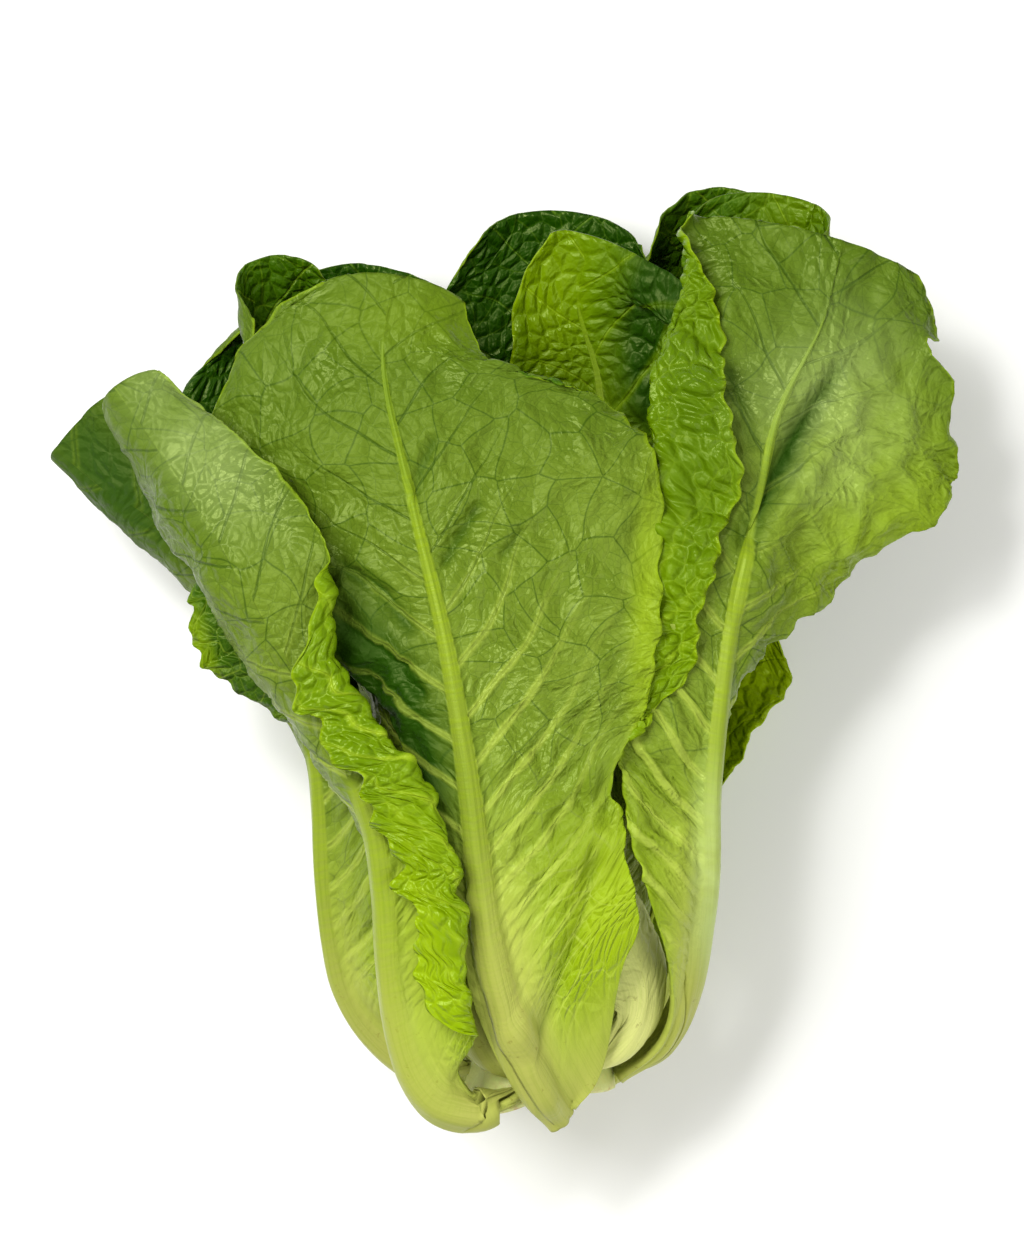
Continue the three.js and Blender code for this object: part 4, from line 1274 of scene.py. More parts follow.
class Surface:
    """The fine middle surface of a leaf, moved as its coarse grid was when the leaves settled.

    Of each point, x and y are its place from above, aside its distance from the midrib, negative
    on the left, and a the same without a sign; share is how far out to the margin it lies, s how
    far along the leaf, and t the same as a share of the length. begins, gap and number say where
    it lies among the side veins.
    """

    VEIN_GAPS = (7.0, 24.0)  # how far apart the side veins are at the base and at the tip
    OFFSET = 0.43  # how much later the left side's veins begin, in their own spacing
    FINER = 2.6  # how many wrinkles there are to a side vein
    NET_CELL = 14.0  # how wide the cells of the net of small veins are
    FLUTES = 0.22  # height of the flutes along the rib's back
    GROOVE = 0.35  # depth of the groove in the face, as a share of the rib's height

    def __init__(self, leaf: Leaf, sheet: Sheet) -> None:
        """Lays the leaf out finely and finds its side veins.

        Args:
            leaf: The leaf.
            sheet: Its coarse grid, settled.
        """
        self.leaf = leaf
        self.blade = Blade(leaf, fine=True)
        rows = int(math.ceil(self.blade.length / leaf.grain))
        t, c = np.linspace(0.0, 1.0, rows + 1), self.columns(sheet)
        spread = self.blade.lay_out(t, c)
        moved = resample(sheet.now - sheet.start, t * leaf.rows)
        moved = np.swapaxes(resample(np.swapaxes(moved, 0, 1), c + leaf.columns[0]), 0, 1)
        self.points = spread.points + moved - np.array([*SHIFT, 0.0])
        self.x, self.y = self.points[..., 0], self.points[..., 1]
        self.aside, self.a, self.share = spread.aside, np.abs(spread.aside), np.abs(spread.share)
        self.t = t[:, None]
        self.s = np.broadcast_to(self.t * self.blade.length, self.a.shape)
        self.slim = mix(0.95, 0.55, self.t)  # the rib's width, as a share of a packed one's
        self.begins, self.gap, self.number = self.veins()

    def columns(self, sheet: Sheet) -> Array:
        """Columns of the fine grid, as fractions of the coarse ones.

        Args:
            sheet: The leaf's coarse grid.

        Returns:
            The columns, rising from the left margin to the right one.
        """
        steps = np.percentile(np.abs(np.diff(sheet.aside, axis=1)), 75.0, axis=0)
        parts = np.maximum(1, np.round(steps / self.leaf.grain)).astype(int)
        start = -self.leaf.columns[0]
        inner = [start + k + np.arange(n) / n for k, n in enumerate(parts)]
        return np.concatenate([*inner, [float(self.leaf.columns[1])]])

    def ripple(self, kind: int, length: float, terms: int = 9, extra: int = 0) -> Ripple:
        """A ripple that is this leaf's own."""
        return Ripple(int(self.leaf.rank * kind) + extra, length, terms)

    def veins(self) -> tuple[Array, Array, Array]:
        """Where each point lies among the side veins.

        Returns:
            Where on the midrib the vein passed at each point begins, how far apart the veins are
            there, both in millimetres, and the vein's number.
        """
        a, s = self.a, self.s
        uneven = self.ripple(7, 42.0).at(s, self.aside)
        uneven = uneven + 0.15 * self.ripple(7, 15.0, extra=1).at(s, self.aside)
        begins = s - a * mix(0.6, 0.95, self.t) - a * a / 300.0 + uneven * np.minimum(3.5, a * 0.12)
        low, high = self.VEIN_GAPS
        rise = (high - low) / self.blade.length
        number = np.log(np.maximum(0.1, 1.0 + rise * np.maximum(begins, -low) / low)) / rise
        number = number + np.where(self.aside < 0.0, self.OFFSET, 0.0)
        return begins, low + rise * np.maximum(begins, 0.0), number

    def creased(self, crease: Crease, ends: float, narrow: float = 1.0) -> Array:
        """How near points are to a crease.

        Args:
            crease: The crease.
            ends: The share of it over which either end fades.
            narrow: What its width is divided by.

        Returns:
            1 on its line, and less away from it.
        """
        off, where = distance_to(crease.points, self.x, self.y)
        inside = smooth(0.0, ends, where) * (1.0 - smooth(1.0 - ends, 1.0, where))
        return inside * np.exp(-((off / crease.width * narrow) ** 2))

    def relief(self) -> Array:
        """How far the blade stands out from its middle surface towards its back.

        Returns:
            Heights, in millimetres.
        """
        a, t, number = self.a, self.t, self.number
        away = np.abs(number - np.round(number)) * self.gap
        upper = smooth(0.3, 0.62, t)
        ridge = np.exp(-((away / 1.3) ** 2)) * mix(0.8, 0.3, smooth(8.0, 40.0, a))
        sag = -0.5 * np.cos(2.0 * math.pi * (number - 0.5)) * mix(0.7, 0.1, smooth(6.0, 38.0, a))
        grown = smooth(2.0, 9.0, a) * smooth(0.1, 0.28, t) * self.leaf.blister
        finer = number * self.FINER
        finer = np.abs(finer - np.round(finer)) * self.gap / self.FINER
        wrinkles = np.exp(-((finer / 0.9) ** 2)) * 0.4 * (1.0 - smooth(12.0, 34.0, a))
        wrinkles = wrinkles * (1.0 - upper)
        rough = self.ripple(11, 26.0).at(self.s, self.aside) * 0.7
        rough = rough + self.ripple(11, 9.0, extra=1).at(self.s, self.aside) * 0.22
        height = ((ridge - sag) * mix(1.25, 0.5, upper) + wrinkles + rough) * grown
        for crease in self.leaf.creases:
            height = height + crease.height * self.creased(crease, 0.15)
        return height

    def patch_sum(self, patches: Sequence[Patch]) -> Array:
        """How strongly patches colour the blade.

        Args:
            patches: The patches.

        Returns:
            The sum of their strengths at each point.
        """
        total = np.zeros(self.x.shape)
        for patch in patches:
            turned = math.radians(patch.turn)
            dx, dy = self.x - patch.at[0], self.y - patch.at[1]
            u = (dx * math.cos(turned) + dy * math.sin(turned)) / patch.size[0]
            v = (dy * math.cos(turned) - dx * math.sin(turned)) / patch.size[1]
            total = total + patch.strength * (1.0 - smooth(0.1, 1.35, np.hypot(u, v)))
        return total

    def mark(self, mesh: bpy.types.Mesh) -> None:
        """Gives a mesh over the surface's points the attributes that its relief and skin read.

        vein is a side vein's number, the distance from the midrib and the veins' spacing; net is
        a place in the net of small veins, and how strongly a grey-green bloom, partly a painted
        sheen, is painted on; tone is how much rib there is, the share of the length and the
        distance from the margin; shade is painted shade below 0 and painted light above.

        Args:
            mesh: The mesh.
        """
        swirl = self.ripple(13, 32.0, 4)
        across = self.aside + swirl.at(self.s, self.aside) * 2.0
        lengthwise = mix(self.begins, self.s, smooth(0.3, 0.6, self.t))
        lengthwise = lengthwise + swirl.at(self.aside, self.s) * 2.0
        net = (across / self.NET_CELL + self.leaf.rank, lengthwise / self.NET_CELL)
        rib = np.maximum(0.0, 1.0 - (self.a / (self.blade.rib_width(self.t) * self.slim)) ** 2)
        rib = rib * (1.0 - smooth(self.leaf.rib_ends - 0.12, self.leaf.rib_ends, self.t))
        edge = self.a / np.maximum(self.share, 1e-6) - self.a
        # Painted shade where below 0 and painted light where above, from the leaf's patches.
        shade = self.patch_sum(self.leaf.patches)
        # The furrows of the creases get painted shade as well.
        for crease in self.leaf.creases:
            furrow_shade = 0.3 * min(0.0, max(crease.height, -2.4))
            shade = shade + furrow_shade * self.creased(crease, 0.2, 1.4)
        grown = smooth(4.0, 14.0, self.a) * smooth(0.16, 0.36, self.t)
        add_vectors(mesh, "vein", self.number, self.aside, self.gap)
        add_vectors(mesh, "net", *net, self.patch_sum(self.leaf.pale))
        add_vectors(mesh, "tone", rib, self.t, edge)
        add_numbers(mesh, "shade", np.clip(shade, -1.0, 1.0))
        add_numbers(mesh, "blister", self.leaf.blister * grown * mix(1.5, 0.7, self.t))

    def thickened(self, middle: Array) -> tuple[Array, Array]:
        """The leaf's back and face.

        Args:
            middle: The points of the middle surface with its relief, in millimetres.

        Returns:
            The points of the back, with the rib on it, and those of the face.
        """
        a, t, ends = self.a, self.t, self.leaf.rib_ends
        normals = normals_of(middle)
        thick = THIN + (1.0 - smooth(0.0, BASE_SHARE, t)) * (BASE_EXTRA + BLADE - THIN)
        rib = self.blade.rib_at(t, a / self.slim, 1.0)
        rib = rib * mix(1.0, 0.25, smooth(ends - 0.15, ends, t))
        flutes = np.cos(a / np.maximum(self.blade.rib_width(t), 1.0) * 9.0)
        back = thick / 2.0 + rib + self.FLUTES * flutes * np.minimum(rib, 1.0)
        groove = self.GROOVE * self.blade.rib_at(t, a, 1.0)
        face = thick / 2.0 - np.minimum(groove, thick * 0.3)
        return middle + normals * back[..., None], middle - normals * face[..., None]


@dataclass
class LeafPiece:
    """One leaf of the head, as a mesh with a back and a face."""

    leaf: Leaf
    sheet: Sheet

    def build(self) -> bpy.types.Object:
        """Makes the leaf's mesh.

        Returns:
            The piece.
        """
        surface = Surface(self.leaf, self.sheet)
        rows, columns = surface.a.shape
        bpy.ops.object.select_all(action="DESELECT")
        bpy.ops.mesh.primitive_grid_add(
            x_subdivisions=columns - 1, y_subdivisions=rows - 1, size=1.0
        )
        obj = bpy.context.object
        obj.name = f"{self.leaf.name}_blade"
        obj.data.name = obj.name
        middle = surface.points + normals_of(surface.points) * surface.relief()[..., None]
        write_points(obj.data, middle.reshape(-1, 3))
        surface.mark(obj.data)
        modifier = obj.modifiers.new("relief", "NODES")
        modifier.node_group = BlisterRelief.tree()
        apply_modifier(obj, modifier)
        middle = read_points(obj.data).reshape(rows, columns, 3)
        modifier = obj.modifiers.new("thickness", "SOLIDIFY")
        modifier.thickness, modifier.offset = THIN * MM, -1.0
        modifier.material_offset, modifier.material_offset_rim = 1, 0
        self.dress(obj)
        apply_modifier(obj, modifier)
        # The first half of the points is the back, the second half is the face.
        points = np.concatenate([side.reshape(-1, 3) for side in surface.thickened(middle)])
        points[:, 2] = np.maximum(points[:, 2], 0.0)
        write_points(obj.data, points)
        only(obj)
        bpy.ops.object.shade_smooth()
        return obj

    def dress(self, obj: bpy.types.Object) -> None:
        """Gives the leaf the skins of its back and its face."""
        for finish, side in ((self.leaf.back, Side.BACK), (self.leaf.face, Side.FACE)):
            obj.data.materials.append(skin(finish, side))


# ---- finishes -----------------------------------------------------------------------------


class Side(Enum):
    """Which face of a blade a finish is for."""

    BACK = "back"
    FACE = "face"


def linear(rgb: Vector) -> tuple[float, float, float, float]:
    """A colour as Blender takes it.

    Args:
        rgb: The colour as screen values from 0 to 255.

    Returns:
        Its linear values, with an opacity of one.
    """
    parts = [c / 255.0 for c in rgb]
    red, green, blue = (c / 12.92 if c <= 0.04045 else ((c + 0.055) / 1.055) ** 2.4 for c in parts)
    return (red, green, blue, 1.0)


@dataclass(frozen=True)
class Skin:
    """How one face of a leaf looks: its colours, low to high along it, and its relief.

    foot is the stalk's colour at the very base; vein_share and net_share are how clearly the
    veins show; bumps is the depth of the fine relief, in millimetres.
    """

    low: Vector
    middle: Vector
    high: Vector
    veins_low: Vector
    veins_high: Vector
    rib_low: Vector
    rib_high: Vector
    edge: Vector
    vein_share: float = 0.7
    net_share: float = 0.5
    foot: Vector = (166, 168, 84)
    rough: float = 0.36
    bumps: float = 1.15


# Colours that every leaf shares, as screen values, and tints, which a colour is multiplied by.
# PALE is the grey-green bloom of a leaf's back, partly a painted sheen.
PALE = (176, 194, 122)
# LIT_AND_YELLOWER is what painted light mixes towards, partly a yellower tone of the blade.
LIT_AND_YELLOWER = (148, 176, 4)
MARK = (118, 110, 44)
# PAINTED_SHADE is the dark green that painted shade mixes towards.
PAINTED_SHADE = (30, 64, 2)
FIBRE_TINT = (0.72, 0.8, 0.55, 1.0)
MOTTLE_TINT = (0.6, 0.7, 0.45, 1.0)
SHEEN_TINT = (0.85, 1.0, 0.35, 1.0)

BACKS = {
    Finish.DULL: Skin(
        low=(136, 160, 10), middle=(105, 126, 34), high=(80, 104, 19),
        veins_low=(170, 188, 72), veins_high=(40, 68, 2),
        rib_low=(142, 152, 56), rib_high=(108, 138, 10), edge=(136, 166, 10), net_share=0.75,
        rough=0.42, bumps=0.8,
    ),
    Finish.LUSH: Skin(
        low=(150, 178, 30), middle=(122, 152, 6), high=(110, 142, 4),
        veins_low=(186, 202, 90), veins_high=(84, 116, 4),
        rib_low=(204, 212, 118), rib_high=(150, 176, 40), edge=(150, 180, 20),
    ),
    Finish.CREAM: Skin(
        low=(206, 212, 120), middle=(170, 192, 70), high=(130, 160, 30),
        veins_low=(212, 218, 134), veins_high=(170, 192, 70),
        rib_low=(212, 216, 134), rib_high=(190, 204, 96), edge=(196, 208, 90), foot=(204, 206, 124),
    ),
    Finish.YOUNG: Skin(
        low=(212, 218, 128), middle=(160, 188, 50), high=(124, 160, 20),
        veins_low=(218, 222, 146), veins_high=(176, 198, 80),
        rib_low=(220, 224, 156), rib_high=(200, 212, 116), edge=(180, 202, 60),
    ),
}

FACES = {
    Finish.BRIGHT: Skin(
        low=(134, 162, 0), middle=(100, 130, 0), high=(88, 118, 0),
        veins_low=(160, 184, 40), veins_high=(130, 158, 20),
        rib_low=(192, 202, 104), rib_high=(130, 158, 24), edge=(140, 168, 4),
        vein_share=0.3, net_share=0.16, rough=0.34, bumps=1.0,
    ),
    Finish.LUSH: Skin(
        low=(120, 150, 4), middle=(50, 84, 0), high=(52, 88, 0),
        veins_low=(168, 190, 60), veins_high=(112, 142, 24),
        rib_low=(200, 208, 116), rib_high=(124, 154, 36), edge=(96, 130, 4),
        vein_share=0.5, net_share=0.35, rough=0.38,
    ),
    Finish.DEEP: Skin(
        low=(120, 150, 20), middle=(34, 72, 0), high=(26, 64, 0),
        veins_low=(160, 182, 60), veins_high=(84, 118, 20),
        rib_low=(196, 206, 110), rib_high=(104, 136, 36), edge=(52, 90, 0),
        vein_share=0.5, net_share=0.3, rough=0.36,
    ),
    Finish.YOUNG: Skin(
        low=(206, 214, 110), middle=(150, 182, 30), high=(112, 148, 8),
        veins_low=(214, 220, 134), veins_high=(160, 186, 60),
        rib_low=(218, 222, 150), rib_high=(184, 202, 90), edge=(164, 190, 36),
        vein_share=0.45, net_share=0.3, rough=0.4,
    ),
}


class LeafMasks:
    """A shader group that turns a leaf's attributes into masks and a height for its relief."""

    NAME = "leaf_masks"
    NETS = ((1.0, 0.03), (2.9, 0.045), (7.5, 0.09))  # scale and half-width of each net's lines

    @classmethod
    def tree(cls) -> bpy.types.NodeTree:
        """The group, made once.

        Returns:
            A group whose outputs are numbers from 0 to 1.
        """
        if cls.NAME in bpy.data.node_groups:
            return bpy.data.node_groups[cls.NAME]
        group = bpy.data.node_groups.new(cls.NAME, "ShaderNodeTree")
        t = NodeTree(group)
        values = cls.masks(t)
        for name in values:
            group.interface.new_socket(name, in_out="OUTPUT", socket_type="NodeSocketFloat")
        end = t.node("NodeGroupOutput")
        for name, value in values.items():
            t.put(end.inputs[name], value)
        return group

    @classmethod
    def masks(cls, t: NodeTree) -> dict[str, Socket]:
        """The masks and the height.

        Args:
            t: The tree to make them in.

        Returns:
            Each one's socket, by its name.
        """
        vein, net, tone, shade = (
            t.node("ShaderNodeAttribute", attribute_name=name, attribute_type="GEOMETRY").outputs
            for name in ("vein", "net", "tone", "shade")
        )
        number, aside, gap = t.parts(vein["Vector"])
        rib, length, edge = t.parts(tone["Vector"])
        out = t.math("ABSOLUTE", aside)
        off = t.math("SUBTRACT", number, t.math("ROUND", number))
        away = t.times(t.math("ABSOLUTE", off), gap)
        thin = t.ramp(out, 4.0, 50.0, 1.0, 0.55)
        veins = t.fall(t.math("DIVIDE", away, thin), 0.15, 0.8)
        veins = t.times(veins, t.ramp(out, 12.0, 40.0, 1.0, 0.15))
        walls = [t.walls(net["Vector"], scale) for scale, _ in cls.NETS]
        lines = [t.fall(wall, 0.0, width) for wall, (_, width) in zip(walls, cls.NETS)]
        domes, fine_domes = (t.ramp(wall, 0.0, 0.35) for wall in walls[1:])
        place = t.node("ShaderNodeTexCoord").outputs["Object"]
        patches = t.noise(place, 34.0, 4.0, 0.6)
        grain = t.noise(place, 900.0, 3.0)
        specks = t.noise(place, 230.0, 4.0, 0.7)
        rungs = t.node("ShaderNodeCombineXYZ", {0: t.times(length, 190.0), 1: t.times(out, 0.12)})
        ticks = t.noise(rungs.outputs[0], 1.0, 2.0)
        threads = t.node("ShaderNodeCombineXYZ", {0: t.times(aside, 1.5), 1: t.times(length, 9.0)})
        fibres = t.noise(threads.outputs[0], 1.0, 3.0)
        inner = t.times(t.fall(length, 0.1, 0.4), t.fall(out, 4.0, 20.0, 0.95))
        base = t.math("MAXIMUM", t.fall(length, 0.02, 0.12), inner)
        on_rib = t.ramp(rib, 0.0, 0.35)
        stalk = t.math("MAXIMUM", base, on_rib)
        calm = t.times(t.math("SUBTRACT", 1.0, base), t.math("SUBTRACT", 1.0, on_rib))
        veins, *lines = [t.times(value, calm) for value in (veins, *lines)]
        height = t.math("SUBTRACT", t.times(domes, 0.7), t.times(veins, 0.3))
        height = t.times(t.plus(height, t.times(fine_domes, 0.09)), calm)
        height = t.plus(height, t.times(ticks, on_rib, 0.25), t.times(grain, 0.1))
        return {
            "Veins": veins,
            "Net": t.math("MAXIMUM", lines[0], t.times(lines[1], 0.5)),
            "Fine": lines[2],
            "Rib": on_rib,
            "Base": base,
            "Length": length,
            "Edge": t.fall(edge, 0.1, 1.5),
            # Painted shade where the shade attribute is below 0, painted light where it is above.
            "Deep": t.math("MAXIMUM", t.times(shade["Fac"], -1.0), 0.0),
            "Lit": t.math("MAXIMUM", shade["Fac"], 0.0),
            "Near Rib": t.fall(out, 3.0, 24.0),
            "Patches": patches,
            "Ticks": t.ramp(ticks, 0.42, 0.62),
            "Pale": t.parts(net["Vector"])[2],
            # Pale: the bloom and partly a painted sheen, from the leaf's pale patches.
            "Ridge": t.times(t.fall(away, 0.5, 2.2), t.ramp(out, 16.0, 44.0, 1.0, 0.2)),
            "Fibres": t.times(t.ramp(fibres, 0.44, 0.64), stalk),
            "Marks": t.times(t.ramp(specks, 0.63, 0.68), base),
            "Height": t.plus(height, t.times(fibres, stalk, 0.3)),
        }


def new_material(name: str) -> tuple[bpy.types.Material, NodeTree, Any]:
    """Makes a material.

    Args:
        name: The material's name.

    Returns:
        The material, its tree and its Principled node.
    """
    material = bpy.data.materials.new(name)
    material.use_nodes = True
    return material, NodeTree(material.node_tree), material.node_tree.nodes["Principled BSDF"]


def blade_colour(t: NodeTree, mask: Any, look: Skin, side: Side) -> Socket:
    """The colour of a leaf beside its rib.

    Args:
        t: The material's tree.
        mask: The masks' sockets.
        look: The finish.
        side: Which face of the leaf it is for.

    Returns:
        The colour.
    """
    length = mask["Length"]
    to_middle, to_high = t.ramp(length, 0.1, 0.5), t.ramp(length, 0.5, 0.95)

    def run(*colours: Vector) -> Socket:
        """A colour that changes along the leaf, given at its base, its middle and its tip."""
        low, middle, high = (linear(colour) for colour in colours)
        return t.coats(low, (to_middle, middle), (to_high, high))

    veins_low = linear(look.veins_low)
    veins_middle = look.veins_low if side is Side.FACE else look.veins_high
    veins = run(look.veins_low, veins_middle, look.veins_high)
    lower = t.times(t.ramp(length, 0.12, 0.26), t.fall(length, 0.46, 0.74, 0.5))
    mottled = t.times(t.ramp(mask["Patches"], 0.3, 0.7), 0.45)
    return t.coats(
        t.tinted(mottled, run(look.low, look.middle, look.high), MOTTLE_TINT),
        (t.times(mask["Near Rib"], t.fall(length, 0.12, 0.5, 0.8)), veins_low),
        (t.times(mask["Fine"], look.net_share * 0.35), veins),
        (t.times(mask["Net"], look.net_share), veins),
        (t.times(mask["Veins"], look.vein_share), veins),
        (t.times(mask["Ridge"], lower), veins_low),
        # Paler margins, partly painted light shining through the thin blade.
        (t.times(mask["Edge"], 0.45), linear(look.edge)),
    )


def skin(finish: Finish, side: Side) -> bpy.types.Material:
    """The material for one face of the leaves of a finish, made once.

    Args:
        finish: The finish.
        side: Which face of the leaf it is for.

    Returns:
        The material.
    """
    name = f"leaf_{finish.value}_{side.value}"
    if name in bpy.data.materials:
        return bpy.data.materials[name]
    look = (BACKS if side is Side.BACK else FACES)[finish]
    material, t, principled = new_material(name)
    mask = t.node("ShaderNodeGroup", node_tree=LeafMasks.tree()).outputs
    rib = t.coats(
        linear(look.rib_low),
        (mask["Length"], linear(look.rib_high)),
        (t.times(mask["Ticks"], 0.35), linear(look.low)),
    )
    colour = t.coats(
        blade_colour(t, mask, look, side),
        (t.times(mask["Rib"], t.ramp(mask["Length"], 0.66, 0.94, 1.0, 0.3)), rib),
        (t.times(mask["Base"], 0.85), linear(look.foot)),
    )
    spared = t.math("MAXIMUM", t.times(mask["Rib"], 0.7), t.times(mask["Ridge"], 0.6))
    colour = t.coats(
        t.tinted(t.times(mask["Fibres"], 0.4), colour, FIBRE_TINT),
        (t.times(mask["Marks"], 0.5), linear(MARK)),
        # Painted light, partly a yellower tone.
        (t.times(mask["Lit"], 0.75), linear(LIT_AND_YELLOWER)),
        # A grey-green bloom, partly a painted sheen.
        (t.times(mask["Pale"], t.ramp(mask["Patches"], 0.35, 0.6, 0.3, 0.9)), linear(PALE)),
        # Painted shade, spared on the rib and the pale ridges.
        (t.times(mask["Deep"], t.math("SUBTRACT", 1.0, spared)), linear(PAINTED_SHADE)),
    )
    rough = t.ramp(mask["Patches"], 0.4, 0.62, look.rough + 0.1, look.rough - 0.12)
    bump = {"Height": mask["Height"], "Strength": 0.8, "Distance": look.bumps * MM}
    t.put(principled.inputs["Base Color"], colour)
    t.put(principled.inputs["Roughness"], t.plus(rough, t.times(mask["Deep"], 0.15)))
    t.put(principled.inputs["Normal"], t.node("ShaderNodeBump", bump).outputs[0])
    principled.inputs["IOR"].default_value = 1.38
    principled.inputs["Specular IOR Level"].default_value = 0.45
    principled.inputs["Specular Tint"].default_value = SHEEN_TINT
    return material


@dataclass(frozen=True)
class StemFinish:
    """The flesh of the stem, browned a little where it was cut."""

    flesh: Vector = (196, 204, 118)
    ring: Vector = (200, 196, 120)
    browned: Vector = (150, 104, 52)
    cut: float = 9.6
    stained: float = 4.0

    def material(self) -> bpy.types.Material:
        """Makes the material.

        Returns:
            Flesh with a ring about its axis and brown stains at the cut.
        """
        material, t, principled = new_material("stem_flesh")
        place = t.node("ShaderNodeTexCoord").outputs["Object"]
        x, y, z = t.parts(place)
        dx = t.math("SUBTRACT", x, (STEM_X - SHIFT[0]) * MM)
        dz = t.math("SUBTRACT", z, STEM_Z * MM)
        radius = t.math("SQRT", t.plus(t.times(dx, dx), t.times(dz, dz)))
        stains = t.noise(place, 160.0, 5.0, 0.65)
        ring = t.ramp(radius, 9.0 * MM, 11.5 * MM)
        ring = t.times(ring, t.fall(radius, 12.0 * MM, 14.5 * MM), 0.7)
        cut = (self.cut - SHIFT[1]) * MM
        at_cut = t.fall(y, cut, cut + self.stained * MM)
        rim = t.plus(0.35, t.times(t.ramp(radius, 12.0 * MM, 17.0 * MM), 0.5))
        brown = t.times(t.ramp(stains, 0.42, 0.7), t.times(at_cut, rim))
        coats = ((ring, linear(self.ring)), (brown, linear(self.browned)))
        bump = {"Height": stains, "Strength": 0.5, "Distance": 1.0 * MM}
        t.put(principled.inputs["Base Color"], t.coats(linear(self.flesh), *coats))
        t.put(principled.inputs["Normal"], t.node("ShaderNodeBump", bump).outputs[0])
        principled.inputs["Roughness"].default_value = 0.5
        principled.inputs["Subsurface Weight"].default_value = 0.15
        principled.inputs["Subsurface Scale"].default_value = 4.0 * MM
        return material


@dataclass(frozen=True)
class StemPiece:
    """The stub of stem that carries the leaves, from the cut to the growing tip.

    It is a ball drawn out: cut, rim and tip are where the cut's edge, the widest ring and the
    start of the growing tip lie, as shares of the way down the ball. The lengths are what the
    stem flares by above the cut, swells by on its left and was cut aslant by.
    """

    segments: int = 96
    rings: int = 90
    cut: float = 0.3
    rim: float = 0.36
    tip: float = 0.92
    flare: float = 3.4
    swell: float = 5.2
    slant: float = 6.0
    rough: float = 0.22

    def build(self) -> bpy.types.Object:
        """Makes the stem.

        Returns:
            The piece.
        """
        bpy.ops.object.select_all(action="DESELECT")
        bpy.ops.mesh.primitive_uv_sphere_add(
            segments=self.segments, ring_count=self.rings, radius=1.0
        )
        obj = bpy.context.object
        obj.name = "stem_stub"
        ball = read_points(obj.data) * MM
        turn = np.arctan2(ball[:, 1], ball[:, 0])
        down = 0.5 - np.arcsin(np.clip(ball[:, 2], -1.0, 1.0)) / math.pi
        heights = [9.3, 9.0, STEM_BUTT, STEM_TOP, STEM_TOP + STEM_TIP]
        height = np.interp(down, [0.0, self.cut, self.rim, self.tip, 1.0], heights)
        swell = self.swell * smooth(0.2, 0.95, -np.cos(turn))
        outer = stem_radius(height) + (self.flare + swell) * (1.0 - smooth(9.0, 30.0, height))
        radii = [0.0, STEM_RADIUS + 1.4, STEM_RADIUS + self.flare]
        radius = np.interp(down, [0.0, self.cut, self.rim], radii)
        radius = radius + swell * np.clip(down / self.cut, 0.0, 1.0)
        top = np.sqrt(np.clip(1.0 - ((height - STEM_TOP) / STEM_TIP) ** 2, 0.0, 1.0)) * STEM_TIP
        radius = np.where(down > self.tip, top, np.where(down > self.rim, outer, radius))
        bumps = Ripple(5, 6.0).at(radius * np.cos(turn), radius * np.sin(turn)) * self.rough
        height = np.where(down < self.cut, height + bumps + 0.2, height)
        x, z = STEM_X + radius * np.cos(turn), STEM_Z + radius * np.sin(turn)
        low = 1.0 - smooth(9.5, 18.0, height)
        height = height - self.slant * (1.0 - smooth(-14.0, 8.0, x)) * low
        write_points(obj.data, np.stack([x - SHIFT[0], height - SHIFT[1], z], -1))
        obj.data.materials.append(StemFinish().material())
        only(obj)
        bpy.ops.object.shade_smooth()
        return obj


# ---- the head, and the picture ------------------------------------------------------------


class Head:
    """The whole lettuce: its stem and its leaves."""

    def __init__(self) -> None:
        """Lists the leaves."""
        self.leaves = [*LEAVES, *heart_leaves()]

    def slot_of(self, leaf: Leaf) -> str:
        """The name of a slot for a leaf.

        Args:
            leaf: The leaf.

        Returns:
            The slot's name.
        """
        if leaf.layer is Layer.HEART or leaf.name in ("leaf_front_inner", "leaf_left_inner"):
            return "inner_leaf"
        return "back_leaf" if leaf.layer is Layer.BACK else "outer_leaf"

    def build(self) -> None:
        """Settles the leaves, then makes every piece and hands it to the frame."""
        stem = StemPiece().build()
        self.hand_over(stem, "stem", "stem")
        sheets = Settling(self.leaves).run()
        LOG.info("settled %d leaves", len(sheets))
        for leaf in self.leaves:
            piece = LeafPiece(leaf, sheets[leaf.name]).build()
            self.hand_over(piece, leaf.name, self.slot_of(leaf))

    @staticmethod
    def hand_over(piece: bpy.types.Object, node: str, slot: str) -> None:
        """Lets a piece stand for a solid of the frame.

        Args:
            piece: The piece.
            node: The solid that it stands for.
            slot: Not used.
        """
        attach(piece, "root")
        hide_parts(node)
        LOG.info("%s: %d faces", piece.name, len(piece.data.polygons))


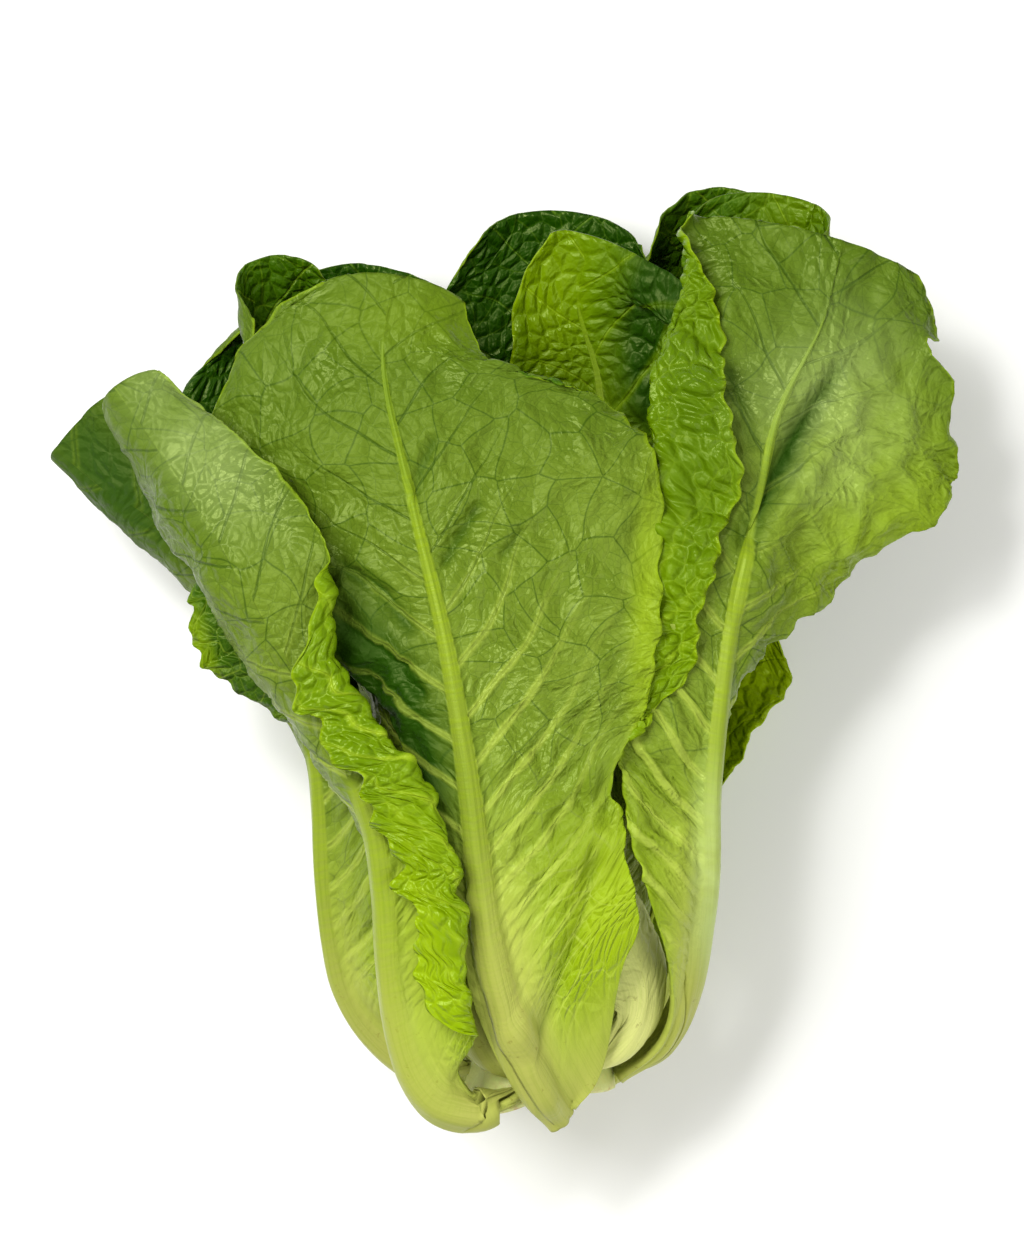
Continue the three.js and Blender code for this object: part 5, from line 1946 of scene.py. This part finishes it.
@dataclass(frozen=True)
class Studio:
    """A pale floor in soft light, seen from straight above by a long lens."""

    centre: Vector = (0.0033, 0.009)
    height: float = 2.2
    lens: float = 250.8
    sensor: float = 36.0
    floor: Vector = (243, 243, 241)
    air: Vector = (1.0, 0.99, 0.95, 1.0)
    air_strength: float = 0.46

    def build(self) -> None:
        """Makes the floor, the lights and the camera."""
        scene = bpy.context.scene
        scene.view_settings.view_transform = "Standard"
        scene.view_settings.look = "None"
        self.lay_floor()
        self.area("key", (-0.75, 0.5, 1.35), 0.9, 24.0)
        self.area("spark", (-0.4, 0.55, 1.5), 0.2, 6.0)
        self.area("fill", (0.75, -0.55, 1.3), 1.2, 11.0)
        world = bpy.data.worlds.new("soft_room")
        world.use_nodes = True
        background = world.node_tree.nodes["Background"].inputs
        background["Color"].default_value = self.air
        background["Strength"].default_value = self.air_strength
        scene.world = world
        data = bpy.data.cameras.new("camera")
        data.sensor_fit, data.sensor_width = "HORIZONTAL", self.sensor
        data.lens, data.clip_end = self.lens, 20.0
        camera = bpy.data.objects.new("camera", data)
        scene.collection.objects.link(camera)
        camera.location = (*self.centre, self.height)
        scene.camera = camera

    def lay_floor(self) -> None:
        """Makes the floor, a little below the head."""
        bpy.ops.object.select_all(action="DESELECT")
        bpy.ops.mesh.primitive_plane_add(size=6.0, location=(0.0, 0.0, -0.0002))
        floor = bpy.context.object
        floor.name = "floor"
        material, _, principled = new_material("floor_matte")
        principled.inputs["Base Color"].default_value = linear(self.floor)
        principled.inputs["Roughness"].default_value = 0.9
        floor.data.materials.append(material)

    @staticmethod
    def area(name: str, place: Vector, size: float, power: float) -> None:
        """Adds a soft square light that looks at the head.

        Args:
            name: The light's name.
            place: Where it is, in metres.
            size: The length of its side, in metres.
            power: Its power, in watts.
        """
        light = bpy.data.lights.new(name, "AREA")
        light.size, light.energy = size, power
        obj = bpy.data.objects.new(name, light)
        bpy.context.scene.collection.objects.link(obj)
        obj.location = place
        to_head = np.array([0.0, 0.0, 0.05]) - np.array(place)
        flat = math.hypot(to_head[0], to_head[1])
        tilt, turn = math.atan2(flat, -to_head[2]), math.atan2(-to_head[0], to_head[1])
        obj.rotation_euler = (tilt, 0.0, turn)


def main() -> None:
    """Builds the lettuce and the picture."""
    logging.basicConfig(level=logging.INFO, format="%(name)s: %(message)s")
    Head().build()
    Studio().build()


if __name__ == "__main__":
    main()
